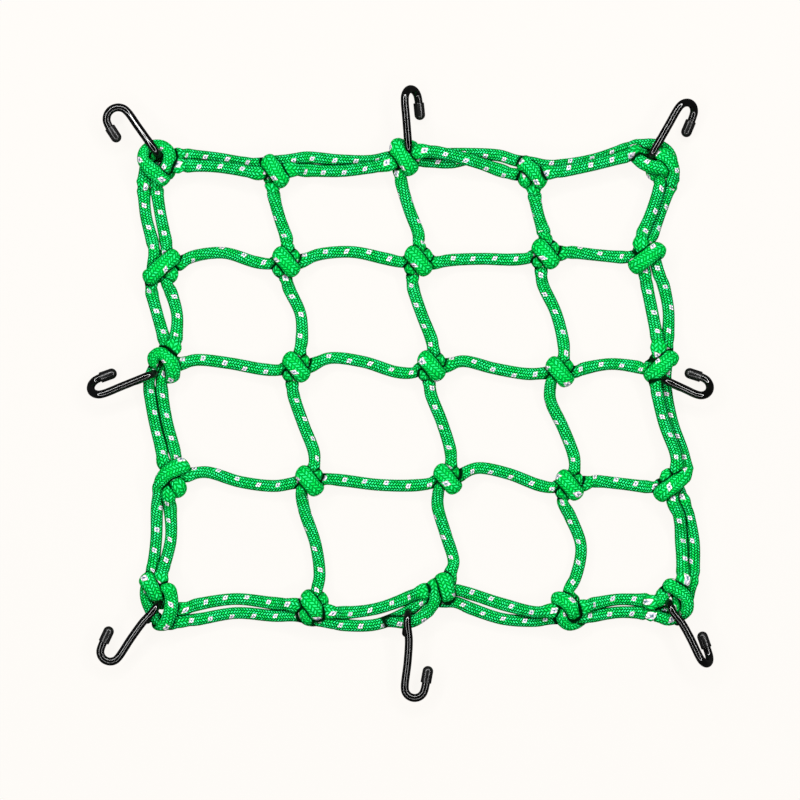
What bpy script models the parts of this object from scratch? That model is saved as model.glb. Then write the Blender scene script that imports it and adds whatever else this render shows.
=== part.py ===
"""Cargo net of elastic cord with eight coated wire hooks, lying loosely on a flat surface.

The tables are in millimetres, and the turns of a knot in cord diameters. Meshes are in metres, +Z up.
The net lies on z = 0 with its origin under the middle of its box.
"""
import math
from collections import namedtuple

import bmesh
import bpy
from mathutils import Vector

MM = 0.001

# ---------------------------------------------------------------- driving sizes, mm
CORD = 6.3                  # diameter of the elastic cord
TURN_UNIT = 6.0             # the unit of the knots' tables across the net, mm
KNOT_REACH = 8.4            # from a knot's middle to where a cord leaves it
CORNER_REACH = 11.5         # the same, at the four corner knots
THROUGH_HEIGHT = 1.10       # height of a rim cord inside an edge knot, in cord diameters
SPAN_HEIGHTS = (0.95, 0.64, 0.53, 0.64, 0.95)   # along a span, in cord diameters
SPAN_STATIONS = (0.25, 0.5, 0.75)
KNOT_STEP = 4.2             # ring spacing of the modelled cord inside a knot
SPAN_STEP = 13.0            # and between knots
WIRE = 4.2                  # diameter of the coated hook wire
WIRE_GAP = 0.35             # room between a hook and what it touches

# ---------------------------------------------------------------- how finely it is faceted
NET_SIDES = 1               # bevel resolution: a cord of six sides
FACET_GROWTH = 1.03         # keeps a six-sided cord as thick as a round one
FACE_SHARE = 0.42           # of the faces that joining the strands leaves
WIRE_SIDES = 2              # bevel resolution: a wire of eight sides
WIRE_FACES = 8
FLOOR_HALF = 250.0
ROUGH_FLOOR = 0.4           # how far below the floor the first cut is

# ---------------------------------------------------------------- where the knots lie
Knot = namedtuple("Knot", "row column x y")
KNOTS = (
    Knot(1, 1, -126.8, 121.1), Knot(1, 2, -65.8, 116.9), Knot(1, 3, 2.1, 124.8),
    Knot(1, 4, 68.4, 115.4), Knot(1, 5, 134.2, 122.1),
    Knot(2, 1, -124.2, 65.8), Knot(2, 2, -59.5, 68.9), Knot(2, 3, 9.4, 69.4),
    Knot(2, 4, 75.7, 73.1), Knot(2, 5, 128.9, 70.5),
    Knot(3, 1, -123.7, 16.2), Knot(3, 2, -54.3, 14.1), Knot(3, 3, 16.2, 14.6),
    Knot(3, 4, 83.0, 11.5), Knot(3, 5, 136.8, 16.2),
    Knot(4, 1, -119.0, -43.8), Knot(4, 2, -47.5, -45.4), Knot(4, 3, 24.5, -44.4),
    Knot(4, 4, 88.2, -47.5), Knot(4, 5, 142.0, -47.5),
    Knot(5, 1, -125.3, -107.5), Knot(5, 2, -45.9, -111.2), Knot(5, 3, 20.9, -102.3),
    Knot(5, 4, 87.2, -111.7), Knot(5, 5, 142.0, -108.6),
)
SHIFT = Vector((0.0, -0.4, 0.0))        # brings the middle of the whole piece over the origin
PLACE = {(knot.row, knot.column): Vector((knot.x, knot.y, 0.0)) + SHIFT for knot in KNOTS}
CORNERS = {(1, 1), (1, 5), (5, 1), (5, 5)}
LAST = 5

# ---------------------------------------------------------------- how far each span sways
# Each row is one stretch of cord between the knot (row, column) and the next one to the right or
# below. The five values are its distance from the straight line between the two knots where it
# leaves the first, at a quarter, at the middle, at three quarters, and where it meets the second:
# upward is positive on a span that runs across, and to the right on one that runs down.
Sway = namedtuple("Sway", "row column cord start quarter middle three_quarter end")
ACROSS = (
    Sway(1, 1, "outer", 4.4, 4.6, 4.2, 2.6, 2.6),
    Sway(1, 1, "inner", -1.0, -0.9, -0.4, -1.6, -2.5),
    Sway(1, 2, "outer", 4.2, 4.6, 1.2, -1.1, -0.4),
    Sway(1, 2, "inner", -1.0, -2.0, -4.6, -4.7, -4.1),
    Sway(1, 3, "outer", 2.0, 2.8, 5.3, 6.7, 5.3),
    Sway(1, 3, "inner", 2.8, 3.6, 2.2, -0.8, -2.0),
    Sway(1, 4, "outer", 2.9, 2.4, 3.7, 7.4, 8.4),
    Sway(1, 4, "inner", -0.9, -0.9, 0.8, 3.5, 4.6),
    Sway(2, 1, "net", 1.7, 5.2, 6.3, 0.8, -0.6),
    Sway(2, 2, "net", 0.5, 3.8, 5.0, 1.4, -0.5),
    Sway(2, 3, "net", -1.4, -0.5, -0.7, -2.0, -1.6),
    Sway(2, 4, "net", 0.8, 1.5, 0.8, 0.3, 0.6),
    Sway(3, 1, "net", -0.3, 2.1, 0.9, -1.7, -1.8),
    Sway(3, 2, "net", 1.0, 4.5, 2.4, -3.1, -3.2),
    Sway(3, 3, "net", 0.8, 3.3, 0.2, -1.8, -1.1),
    Sway(3, 4, "net", -0.7, 0.7, 1.8, -0.8, -2.5),
    Sway(4, 1, "net", 1.8, 3.4, -1.3, -3.0, -1.3),
    Sway(4, 2, "net", 0.9, 0.0, -2.5, -3.1, -2.0),
    Sway(4, 3, "net", 3.3, 6.5, 4.4, -0.8, -1.7),
    Sway(4, 4, "net", 1.0, 1.9, 0.7, -0.9, -1.0),
    Sway(5, 1, "inner", -4.2, -1.4, 2.3, 1.0, 0.7),
    Sway(5, 1, "outer", -10.4, -9.2, -5.0, -5.5, -4.9),
    Sway(5, 2, "inner", -3.4, -5.2, -5.4, -1.9, 0.8),
    Sway(5, 2, "outer", -8.9, -11.6, -13.6, -8.9, -4.1),
    Sway(5, 3, "inner", 1.2, 0.1, -2.9, -4.3, -2.4),
    Sway(5, 3, "outer", -5.2, -7.5, -10.5, -9.0, -6.6),
    Sway(5, 4, "inner", 0.0, 1.3, 2.9, 1.3, 0.4),
    Sway(5, 4, "outer", -5.5, -4.9, -3.8, -5.0, -5.3),
)
DOWN = (
    Sway(1, 1, "outer", -7.4, -7.6, -7.2, -4.4, -3.5),
    Sway(1, 1, "inner", -0.8, -0.9, 0.5, 2.6, 3.0),
    Sway(2, 1, "outer", -5.6, -5.6, -2.6, 0.7, 1.3),
    Sway(2, 1, "inner", 2.6, 4.4, 7.6, 6.7, 5.7),
    Sway(3, 1, "outer", -7.7, -8.1, -6.9, -4.4, -3.8),
    Sway(3, 1, "inner", -1.2, -1.7, -0.5, 2.2, 2.9),
    Sway(4, 1, "outer", -6.2, -6.3, -5.1, -5.5, -6.4),
    Sway(4, 1, "inner", -0.7, 0.6, 2.5, 0.2, -0.6),
    Sway(1, 2, "net", -1.6, -1.9, -0.5, 1.9, 1.6),
    Sway(2, 2, "net", -0.9, 0.2, 5.0, 4.3, 2.9),
    Sway(3, 2, "net", -3.0, -2.9, 0.4, 4.3, 3.7),
    Sway(4, 2, "net", -3.9, -2.5, 2.6, 4.3, 2.6),
    Sway(1, 3, "net", -3.0, -3.3, -1.2, 2.1, 1.4),
    Sway(2, 3, "net", -3.9, -4.3, -1.6, 2.0, 2.3),
    Sway(3, 3, "net", -2.2, -2.1, 1.6, 3.9, 3.3),
    Sway(4, 3, "net", -4.2, -3.9, 1.2, 6.2, 4.7),
    Sway(1, 4, "net", 0.0, -0.2, 0.0, 1.3, 1.1),
    Sway(2, 4, "net", -3.1, -3.1, 2.1, 4.1, 3.5),
    Sway(3, 4, "net", -5.4, -5.8, -0.3, 3.9, 3.6),
    Sway(4, 4, "net", -3.3, 0.7, 6.8, 4.2, 0.4),
    Sway(1, 5, "inner", 2.4, 2.6, 0.2, -3.7, -4.5),
    Sway(1, 5, "outer", 9.0, 8.4, 4.9, 1.6, 0.5),
    Sway(2, 5, "inner", -2.3, -2.1, -1.3, -0.8, -0.9),
    Sway(2, 5, "outer", 5.1, 6.6, 7.3, 5.0, 3.7),
    Sway(3, 5, "inner", -4.5, -4.0, -1.5, 3.0, 2.8),
    Sway(3, 5, "outer", 0.9, 0.9, 3.1, 7.3, 8.0),
    Sway(4, 5, "inner", 0.0, 3.2, 5.0, 5.5, 5.7),
    Sway(4, 5, "outer", 5.8, 8.4, 11.5, 11.0, 10.2),
)

# ---------------------------------------------------------------- how a cord turns inside a knot
# Cord diameters from the knot's middle: to the right, upward, and above the surface. Swell is how
# much wider than the cord it is squeezed there.
Turn = namedtuple("Turn", "right up height swell")


def turns(*rows):
    return [Turn(*row) for row in rows]


TURNS = {
    # the cord that runs down ties the knot round the one that runs across
    "tied_down": turns(
        (0.30, 0.80, 1.05, 1.0), (0.34, 0.10, 0.95, 1.0), (0.50, -0.42, 0.90, 1.0),
        (0.66, -0.74, 1.20, 1.2), (0.48, -0.62, 1.62, 1.36), (0.02, -0.02, 1.80, 1.42),
        (-0.44, 0.56, 1.62, 1.36), (-0.62, 0.70, 1.15, 1.2), (-0.40, 0.62, 0.55, 1.0),
        (0.20, 0.50, 0.42, 1.0), (0.66, 0.50, 0.62, 1.1), (0.78, 0.46, 1.10, 1.15),
        (0.38, 0.08, 1.38, 1.0), (-0.30, -0.34, 1.42, 1.0), (-0.62, -0.68, 1.25, 1.05)),
    "passed_across": turns((-0.75, -0.05, 1.05, 1.0), (0.10, 0.0, 1.0, 1.0), (0.80, 0.02, 1.0, 1.0)),
    # the cord that runs across ties the knot round the one that runs down
    "tied_across": turns(
        (-0.75, -0.02, 1.10, 1.0), (0.0, -0.25, 1.0, 1.0), (0.46, -0.48, 0.95, 1.0),
        (0.66, -0.74, 1.20, 1.2), (0.48, -0.62, 1.62, 1.36), (0.02, -0.02, 1.80, 1.42),
        (-0.44, 0.56, 1.62, 1.36), (-0.62, 0.70, 1.15, 1.2), (-0.40, 0.62, 0.55, 1.0),
        (0.20, 0.50, 0.42, 1.0), (0.66, 0.50, 0.62, 1.1), (0.78, 0.46, 1.10, 1.15),
        (0.38, 0.08, 1.38, 1.0), (-0.32, -0.34, 1.45, 1.05), (-0.64, -0.62, 1.20, 1.15),
        (-0.62, -0.80, 0.70, 1.1), (-0.20, -0.58, 0.42, 1.0), (0.40, -0.30, 0.45, 1.0),
        (0.85, -0.02, 0.80, 1.0)),
    "passed_down": turns((0.32, 0.80, 1.05, 1.0), (0.05, 0.0, 1.0, 1.0), (-0.36, -0.85, 0.95, 1.0)),
    # rim, top: the cord's end wraps the two rim cords and then runs down
    "top_2": turns(
        (0.15, 0.10, 1.30, 0.95), (-0.30, -0.22, 1.40, 0.95), (-0.50, -0.50, 1.15, 1.0),
        (-0.45, -0.70, 0.60, 1.0), (0.05, -0.65, 0.42, 1.0), (0.60, -0.85, 0.60, 1.0),
        (0.80, -0.92, 1.10, 1.15), (0.66, -0.78, 1.60, 1.32), (0.12, -0.04, 1.80, 1.41),
        (-0.42, 0.60, 1.60, 1.37), (-0.54, 0.78, 1.10, 1.2), (-0.35, 0.60, 0.50, 1.0),
        (-0.10, -0.10, 0.45, 1.0), (-0.12, -0.85, 0.75, 1.0)),
    "top_3": turns(
        (0.15, 0.10, 1.30, 0.95), (-0.40, -0.45, 1.42, 0.95), (-0.58, -0.80, 1.10, 1.0),
        (-0.45, -0.90, 0.60, 1.0), (0.05, -0.95, 0.42, 1.0), (0.48, -1.15, 0.60, 1.0),
        (0.60, -1.28, 1.10, 1.15), (0.44, -0.98, 1.62, 1.32), (-0.10, -0.20, 1.82, 1.41),
        (-0.62, 0.50, 1.68, 1.32), (-0.76, 0.66, 1.30, 1.2), (-0.36, 0.78, 1.0, 1.0),
        (0.40, 0.74, 0.90, 1.0), (0.90, 0.62, 0.70, 1.0), (0.40, 0.0, 0.45, 1.0),
        (-0.30, -0.95, 0.80, 1.0)),
    "top_4": turns(
        (0.15, 0.20, 1.30, 0.95), (-0.35, -0.10, 1.42, 1.0), (-0.60, -0.46, 1.25, 1.27),
        (-0.50, -0.82, 0.75, 1.2), (0.05, -0.65, 0.42, 1.0), (0.65, -0.80, 0.60, 1.0),
        (0.88, -0.80, 1.10, 1.0), (0.74, -0.56, 1.60, 1.27), (0.10, 0.16, 1.80, 1.32),
        (-0.52, 0.68, 1.55, 1.2), (-0.70, 0.86, 1.10, 1.0), (-0.40, 0.70, 0.50, 1.0),
        (0.05, -0.10, 0.45, 1.0), (0.15, -0.85, 0.75, 1.0)),
    # rim, bottom: the cord comes down and its end wraps the two rim cords
    "bottom_2": turns(
        (0.38, 0.80, 1.10, 1.0), (0.35, 0.10, 0.90, 1.0), (0.45, -0.35, 0.80, 1.0),
        (0.56, -0.66, 1.15, 1.15), (0.46, -0.48, 1.60, 1.32), (0.04, 0.14, 1.82, 1.42),
        (-0.36, 0.66, 1.60, 1.39), (-0.52, 0.80, 1.10, 1.2), (-0.30, 0.80, 0.50, 1.0),
        (0.45, 0.75, 0.48, 1.0), (0.94, 0.68, 0.95, 1.15), (0.50, 0.30, 1.35, 0.95),
        (-0.25, 0.02, 1.42, 1.0), (-0.68, -0.48, 1.38, 1.32), (-0.46, -1.02, 1.15, 1.32),
        (0.12, -1.12, 0.75, 1.2), (0.60, -0.85, 0.60, 1.0)),
    "bottom_3": turns(
        (0.82, 0.80, 0.90, 1.0), (0.66, 0.10, 0.50, 1.0), (0.20, 0.55, 0.42, 1.0),
        (0.16, 1.02, 0.85, 1.0), (0.34, 1.00, 1.50, 1.25), (0.50, 0.38, 1.78, 1.35),
        (0.62, -0.20, 1.66, 1.29), (0.62, -0.66, 1.15, 1.2), (0.35, -0.50, 0.60, 1.0)),
    "bottom_4": turns(
        (0.25, 0.80, 1.10, 1.0), (0.30, 0.10, 0.90, 1.0), (0.45, -0.35, 0.80, 1.0),
        (0.66, -0.54, 1.15, 1.15), (0.56, -0.20, 1.60, 1.32), (-0.02, 0.52, 1.80, 1.39),
        (-0.62, 0.82, 1.55, 1.32), (-0.92, 0.68, 1.10, 1.2), (-0.45, 0.62, 0.50, 1.0),
        (0.35, 0.65, 0.48, 1.0), (0.74, 0.52, 0.95, 1.0), (0.40, 0.25, 1.35, 0.95),
        (-0.30, 0.05, 1.40, 1.0), (-0.58, -0.45, 1.40, 1.25), (-0.38, -1.08, 1.25, 1.27),
        (0.12, -1.42, 1.0, 1.25), (0.72, -1.38, 0.80, 1.0), (1.20, -1.05, 0.60, 1.0)),
    # rim, left: the cord's end wraps the two rim cords and then runs to the right
    "left_2": turns(
        (-0.20, 0.05, 1.40, 0.95), (0.40, -0.22, 1.45, 1.0), (0.92, -0.42, 1.15, 1.2),
        (0.80, -0.72, 0.60, 1.0), (-0.20, -0.70, 0.42, 1.0), (-0.92, -0.86, 0.60, 1.0),
        (-1.14, -0.90, 1.05, 1.15), (-0.96, -0.74, 1.55, 1.32), (-0.02, 0.10, 1.80, 1.42),
        (0.86, 0.84, 1.55, 1.32), (1.08, 1.0, 1.05, 1.2), (0.75, 0.70, 0.55, 1.0),
        (0.95, 0.25, 0.75, 1.0)),
    "left_3": turns(
        (-0.40, -0.10, 0.90, 1.0), (-0.78, 0.05, 1.15, 1.15), (-0.78, 0.45, 1.50, 1.25),
        (-0.40, 0.82, 1.72, 1.32), (0.22, 0.66, 1.85, 1.41), (0.74, 0.02, 1.85, 1.41),
        (0.92, -0.70, 1.60, 1.32), (0.80, -1.25, 1.05, 1.2), (0.45, -1.15, 0.50, 1.0),
        (0.05, -0.50, 0.42, 1.0), (0.55, 0.0, 0.50, 1.0), (1.0, 0.0, 0.80, 1.0)),
    "left_4": turns(
        (-0.40, 0.30, 1.30, 0.95), (0.05, -0.25, 1.45, 1.0), (0.52, -0.68, 1.50, 1.25),
        (0.72, -1.12, 1.0, 1.15), (0.35, -1.05, 0.55, 1.0), (-0.20, -0.20, 0.42, 1.0),
        (0.30, 0.25, 0.55, 1.0), (0.95, 0.12, 0.85, 1.0)),
    "left_4_rim": turns(
        (0.60, 0.50, 0.60, 1.0), (1.0, 1.06, 1.0, 1.15), (0.88, 1.10, 1.55, 1.27),
        (0.30, 0.84, 1.78, 1.39), (-0.40, 0.42, 1.78, 1.37), (-0.88, -0.14, 1.55, 1.25),
        (-1.12, -0.75, 1.15, 1.0)),
    # the rim cord from above ends inside this knot
    "left_4_under": turns((0.20, -0.20, 0.55, 1.0), (-0.32, 0.55, 0.75, 1.0)),
    # rim, right: the cord comes from the left and its end wraps the two rim cords
    "right_2": turns(
        (-0.75, 0.20, 1.10, 1.0), (0.30, 0.15, 0.95, 1.0), (0.90, 0.50, 0.80, 1.0),
        (0.98, 0.92, 1.10, 1.15), (0.80, 0.76, 1.55, 1.32), (-0.08, 0.06, 1.80, 1.42),
        (-0.90, -0.56, 1.58, 1.32), (-1.10, -0.68, 1.05, 1.15), (-0.75, -0.40, 0.50, 1.0),
        (0.10, 0.40, 0.42, 1.0), (-0.60, 0.80, 0.60, 1.0), (-0.82, 0.66, 1.05, 1.0),
        (-0.30, 0.35, 1.30, 0.95)),
    "right_3": turns(
        (-0.75, 0.05, 1.10, 1.0), (0.20, 0.0, 0.95, 1.0), (0.66, 0.25, 0.80, 1.0),
        (0.78, 0.60, 1.10, 1.15), (0.60, 0.40, 1.58, 1.32), (-0.14, -0.34, 1.80, 1.42),
        (-0.84, -1.02, 1.60, 1.32), (-1.02, -1.22, 1.05, 1.15), (-0.70, -0.85, 0.50, 1.0),
        (0.10, 0.10, 0.42, 1.0), (-0.45, 0.42, 0.60, 1.0), (-0.74, 0.16, 1.10, 1.0),
        (-0.30, -0.10, 1.30, 0.95)),
    "right_4": turns(
        (-0.80, 0.05, 1.05, 1.0), (0.40, 0.10, 0.65, 1.0), (0.60, 0.45, 0.50, 1.0),
        (0.40, 0.80, 0.70, 1.0), (-0.05, 0.90, 1.25, 1.05), (-0.48, 0.62, 1.40, 1.05),
        (-0.72, 0.28, 1.0, 1.0), (-0.45, 0.10, 0.90, 1.0)),
    "right_4_rim": turns(
        (1.26, 1.0, 1.35, 1.0), (0.96, 0.72, 1.66, 1.25), (0.10, 0.08, 1.80, 1.42),
        (-0.84, -0.62, 1.62, 1.35), (-1.08, -0.84, 1.10, 1.2), (-0.75, -0.55, 0.55, 1.0)),
    # the rim cord from below ends inside this knot
    "right_4_under": turns((0.72, -0.75, 0.75, 1.0), (0.45, 0.0, 0.55, 1.0)),
    # corners: rim cords that go round, and the loop that each hook hangs in
    "corner_tl_outer": turns((-0.95, -0.30, 0.95, 1.0), (-0.35, 0.60, 0.95, 1.0), (0.85, 0.50, 0.90, 1.0)),
    "corner_tl_inner": turns((0.05, -1.15, 0.85, 1.0), (0.75, -0.55, 0.85, 1.0)),
    "corner_tl_loop": turns(
        (0.25, -1.20, 0.60, 1.0), (0.58, -1.60, 1.05, 1.05), (0.36, -1.40, 1.60, 1.2),
        (-0.14, -1.0, 1.85, 1.26), (-0.72, -0.48, 1.88, 1.26), (-1.16, 0.16, 1.72, 1.2),
        (-1.04, 0.88, 1.45, 1.1), (-0.38, 1.34, 1.30, 1.05), (0.44, 1.36, 1.35, 1.1),
        (1.02, 0.90, 1.50, 1.25), (1.12, 0.10, 1.55, 1.3), (0.78, -0.60, 1.40, 1.1),
        (0.20, -0.90, 1.10, 1.0)),
    "corner_tl_tuck": turns(
        (-0.15, 0.15, 0.50, 1.0), (0.60, -0.30, 0.60, 1.0), (1.08, -0.72, 0.85, 1.0), (1.0, -1.12, 0.75, 1.0),
        (0.50, -1.10, 0.60, 1.0)),
    "corner_tr_outer": turns(
        (-0.60, 1.35, 1.0, 1.0), (0.30, 1.20, 1.05, 1.0), (1.0, 0.62, 1.05, 1.0),
        (1.30, -0.20, 0.90, 1.0), (1.05, -1.0, 0.70, 1.0)),
    "corner_tr_rim": turns(
        (-0.15, 0.55, 1.10, 1.0), (0.45, 0.48, 1.75, 1.05), (1.08, -0.10, 1.85, 1.1),
        (1.42, -0.85, 1.50, 1.05)),
    "corner_tr_inner": turns(
        (-1.0, 0.45, 0.85, 1.0), (0.0, 0.10, 0.60, 1.0), (0.35, -0.70, 0.75, 1.0), (0.22, -1.3, 0.9, 1.0)),
    "corner_tr_loop": turns(
        (-1.20, 0.85, 0.85, 1.0), (-1.80, 0.80, 1.10, 1.0), (-1.92, 0.42, 1.50, 1.1),
        (-1.55, -0.10, 1.75, 1.2), (-0.92, -0.50, 1.85, 1.22), (-0.15, -0.68, 1.80, 1.2),
        (0.50, -0.60, 1.50, 1.1), (0.55, -0.95, 0.90, 1.0), (0.0, -1.25, 0.60, 1.05),
        (-0.45, -1.22, 0.80, 1.05), (-0.52, -0.85, 1.10, 1.0)),
    "corner_bl_outer": turns(
        (-1.24, 0.88, 0.95, 1.0), (-1.14, 0.0, 0.95, 1.1), (-0.66, -1.08, 1.0, 1.1),
        (0.04, -1.98, 0.95, 1.1), (0.95, -2.05, 0.85, 1.0)),
    "corner_bl_inner": turns(
        (0.95, -0.55, 0.80, 1.0), (0.58, 0.20, 0.75, 1.0), (0.12, 1.10, 0.95, 1.0)),
    "corner_bl_band": turns(
        (-0.60, 1.30, 0.60, 1.0), (-1.16, 1.88, 1.0, 1.05), (-1.08, 1.72, 1.50, 1.2),
        (-0.76, 1.25, 1.72, 1.28), (-0.34, 0.55, 1.60, 1.22), (-0.05, 0.15, 1.10, 1.0),
        (0.22, -0.40, 0.60, 1.0)),
    "corner_bl_loop": turns(
        (0.10, 0.60, 0.85, 1.0), (0.44, 1.02, 1.35, 1.05), (0.82, 0.96, 1.65, 1.2),
        (1.04, 0.30, 1.80, 1.24), (1.02, -0.55, 1.80, 1.24), (0.80, -1.40, 1.65, 1.2),
        (0.44, -2.12, 1.30, 1.15), (0.02, -2.12, 0.75, 1.1), (-0.35, -1.45, 0.60, 1.0)),
    "corner_br_outer": turns(
        (-1.35, -1.08, 0.80, 1.0), (-0.85, -1.36, 0.95, 1.15), (-0.35, -1.50, 1.05, 1.2),
        (0.35, -1.30, 1.05, 1.15), (0.98, -0.75, 0.95, 1.05), (1.34, 0.30, 0.90, 1.0)),
    "corner_br_inner": turns(
        (-0.05, 1.30, 0.80, 1.0), (-0.66, 0.84, 1.10, 1.25), (-1.20, 0.15, 1.12, 1.25)),
    "corner_br_end": turns((0.60, 1.20, 0.60, 1.0), (0.40, 0.45, 0.45, 1.0)),
    "corner_br_loop": turns(
        (-0.20, 1.05, 0.60, 1.0), (-0.42, 1.36, 1.10, 1.1), (-0.12, 1.46, 1.55, 1.2),
        (0.52, 1.06, 1.80, 1.24), (1.08, 0.54, 1.80, 1.24), (1.31, -0.06, 1.68, 1.2),
        (1.22, -0.70, 1.40, 1.1), (0.86, -1.10, 0.95, 1.05), (0.20, -0.95, 0.60, 1.0)),
    "corner_br_tuck": turns(
        (-1.35, -0.55, 0.70, 1.0), (-0.70, -0.80, 0.62, 1.1), (0.05, -0.85, 0.62, 1.1),
        (0.60, -0.70, 0.90, 1.1), (0.66, -0.15, 1.15, 1.0), (0.45, 0.40, 1.0, 1.0)),
    # the loose loop beside the lower middle knot, and the tail beside the upper middle one
    "loop_5_3": turns(
        (-0.20, 0.20, 0.50, 1.0), (-0.62, 0.45, 0.95, 1.1), (-0.60, 0.38, 1.45, 1.15),
        (-0.50, -0.10, 1.62, 1.15), (-0.42, -0.62, 1.60, 1.1), (-0.56, -1.20, 1.50, 1.05),
        (-1.05, -1.78, 1.30, 1.0), (-1.70, -2.36, 1.25, 1.0), (-2.46, -2.74, 1.20, 1.0),
        (-3.30, -2.82, 1.0, 1.0), (-3.95, -2.74, 0.78, 1.0), (-4.60, -2.72, 0.60, 1.0)),
    "tail_1_3": turns(
        (0.40, -0.25, 0.90, 1.0), (1.05, -0.48, 0.85, 1.0), (1.85, -0.52, 0.62, 1.0),
        (3.10, -0.64, 0.53, 1.0), (4.20, -0.66, 0.53, 1.0), (5.20, -0.42, 0.53, 1.0)),
}

# ---------------------------------------------------------------- routes of the cords
# A route is a walk over the net: "turn" follows a row of TURNS at a knot, and the other words
# follow the span that starts at a knot, forward (right, down) or backward (left, up).
Step = namedtuple("Step", "way row column name")
TIED_DOWN = {(3, 4), (4, 2), (4, 3)}


def cord_down(column):
    """One cord that runs down the net and is tied into both rims."""
    route = [Step("turn", 1, column, f"top_{column}")]
    for row in range(1, LAST):
        route.append(Step("down", row, column, "net"))
        if row + 1 < LAST:
            name = "tied_down" if (row + 1, column) in TIED_DOWN else "passed_down"
            route.append(Step("turn", row + 1, column, name))
    route.append(Step("turn", LAST, column, f"bottom_{column}"))
    return route


def cord_across(row):
    """One cord that runs across the net and is tied into both rims."""
    route = [Step("turn", row, 1, f"left_{row}")]
    for column in range(1, LAST):
        route.append(Step("right", row, column, "net"))
        if column + 1 < LAST:
            name = "passed_across" if (row, column + 1) in TIED_DOWN else "tied_across"
            route.append(Step("turn", row, column + 1, name))
    route.append(Step("turn", row, LAST, f"right_{row}"))
    return route


def rim_routes():
    """The doubled cord round the edge, and the loops at its corners."""
    left_top = [Step("turn", 4, 1, "left_4_under")] + [Step("up", row, 1, "outer") for row in (3, 2, 1)]
    top = [Step("right", 1, column, "outer") for column in range(1, LAST)]
    right_top = [Step("down", row, LAST, "outer") for row in (1, 2, 3)]
    bottom = [Step("right", LAST, column, "outer") for column in range(1, LAST)]
    inner = [Step("turn", LAST, LAST, "corner_br_inner")]
    inner += [Step("left", LAST, column, "inner") for column in (4, 3, 2, 1)]
    inner += [Step("turn", LAST, 1, "corner_bl_inner")]
    inner += [Step("up", row, 1, "inner") for row in (4, 3, 2, 1)]
    inner += [Step("turn", 1, 1, "corner_tl_inner")]
    inner += [Step("right", 1, column, "inner") for column in range(1, LAST)]
    inner += [Step("turn", 1, LAST, "corner_tr_inner")]
    inner += [Step("down", row, LAST, "inner") for row in range(1, LAST)]
    inner += [Step("turn", LAST, LAST, "corner_br_end")]
    return [
        left_top + [Step("turn", 1, 1, "corner_tl_outer")] + top + [Step("turn", 1, LAST, "corner_tr_outer")],
        [Step("turn", 1, LAST, "corner_tr_rim")] + right_top + [Step("turn", 4, LAST, "right_4_rim")],
        [Step("turn", 4, 1, "left_4_rim"), Step("down", 4, 1, "outer"),
         Step("turn", LAST, 1, "corner_bl_outer")] + bottom
        + [Step("turn", LAST, LAST, "corner_br_outer"), Step("up", 4, LAST, "outer"),
           Step("turn", 4, LAST, "right_4_under")],
        inner,
        [Step("turn", 1, 1, "corner_tl_loop")], [Step("turn", 1, 1, "corner_tl_tuck")],
        [Step("turn", 1, LAST, "corner_tr_loop")],
        [Step("turn", LAST, 1, "corner_bl_band")], [Step("turn", LAST, 1, "corner_bl_loop")],
        [Step("turn", LAST, LAST, "corner_br_loop")], [Step("turn", LAST, LAST, "corner_br_tuck")],
        [Step("turn", LAST, 3, "loop_5_3")], [Step("turn", 1, 3, "tail_1_3")],
    ]


ROUTES = [cord_down(column) for column in (2, 3, 4)] + [cord_across(row) for row in (2, 3, 4)] + rim_routes()

Stop = namedtuple("Stop", "point swell inside")


def reach(row, column):
    return CORNER_REACH if (row, column) in CORNERS else KNOT_REACH


def span_stops(row, column, name, across):
    """The stops along one span, from its first knot to its second."""
    table = ACROSS if across else DOWN
    sway = next(item for item in table if (item.row, item.column, item.cord) == (row, column, name))
    far = (row, column + 1) if across else (row + 1, column)
    first, last = PLACE[row, column], PLACE[far]
    chord = last - first
    aside = Vector((0, 1, 0)) if across else Vector((1, 0, 0))
    places = (reach(row, column) / chord.length, *SPAN_STATIONS, 1 - reach(*far) / chord.length)
    stops = []
    for place, offset, height, lift in zip(places, sway[3:], SPAN_HEIGHTS, span_lift(sway, table)):
        point = first + chord * place + aside * offset
        point.z = CORD * height + lift
        stops.append(Stop(point, 1.0, False))
    return stops


def span_lift(sway, table):
    """The inner rim cord rides up on the outer one where the two lie closer than a diameter."""
    if sway.cord != "inner":
        return (0.0,) * 5
    other = next(item for item in table if item[:2] == sway[:2] and item.cord == "outer")
    gaps = [one - two for one, two in zip(sway[3:], other[3:])]
    return [math.sqrt(max(0.0, CORD ** 2 - gap ** 2)) for gap in gaps]


def turn_stops(row, column, name):
    centre = PLACE[row, column]
    stops = []
    for turn in TURNS[name]:
        away = Vector((TURN_UNIT * turn.right, TURN_UNIT * turn.up, CORD * turn.height))
        stops.append(Stop(centre + away, turn.swell, True))
    return stops


def walk(route):
    """All stops of a route. Two spans that meet pass straight through the knot between them."""
    stops = []
    was_span = False
    for step in route:
        if step.way == "turn":
            new = turn_stops(step.row, step.column, step.name)
        else:
            new = span_stops(step.row, step.column, step.name, step.way in ("right", "left"))
            if step.way in ("left", "up"):
                new.reverse()
            if was_span:
                middle = (stops[-1].point + new[0].point) / 2
                middle.z = CORD * THROUGH_HEIGHT
                stops.append(Stop(middle, 1.0, True))
        stops += new
        was_span = step.way != "turn"
    return stops


def mix(one, two, start, end, where):
    return one + (two - one) * ((where - start) / (end - start))


def curve_point(quad, share):
    """The point at a share of the middle stretch of a centripetal Catmull-Rom curve."""
    one, two, three, four = quad
    second = math.sqrt((two - one).length)
    third = second + math.sqrt((three - two).length)
    fourth = third + math.sqrt((four - three).length)
    where = second + (third - second) * share
    near = mix(one, two, 0.0, second, where)
    middle = mix(two, three, second, third, where)
    far = mix(three, four, third, fourth, where)
    near = mix(near, middle, 0.0, third, where)
    far = mix(middle, far, second, fourth, where)
    return mix(near, far, second, third, where)


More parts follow.
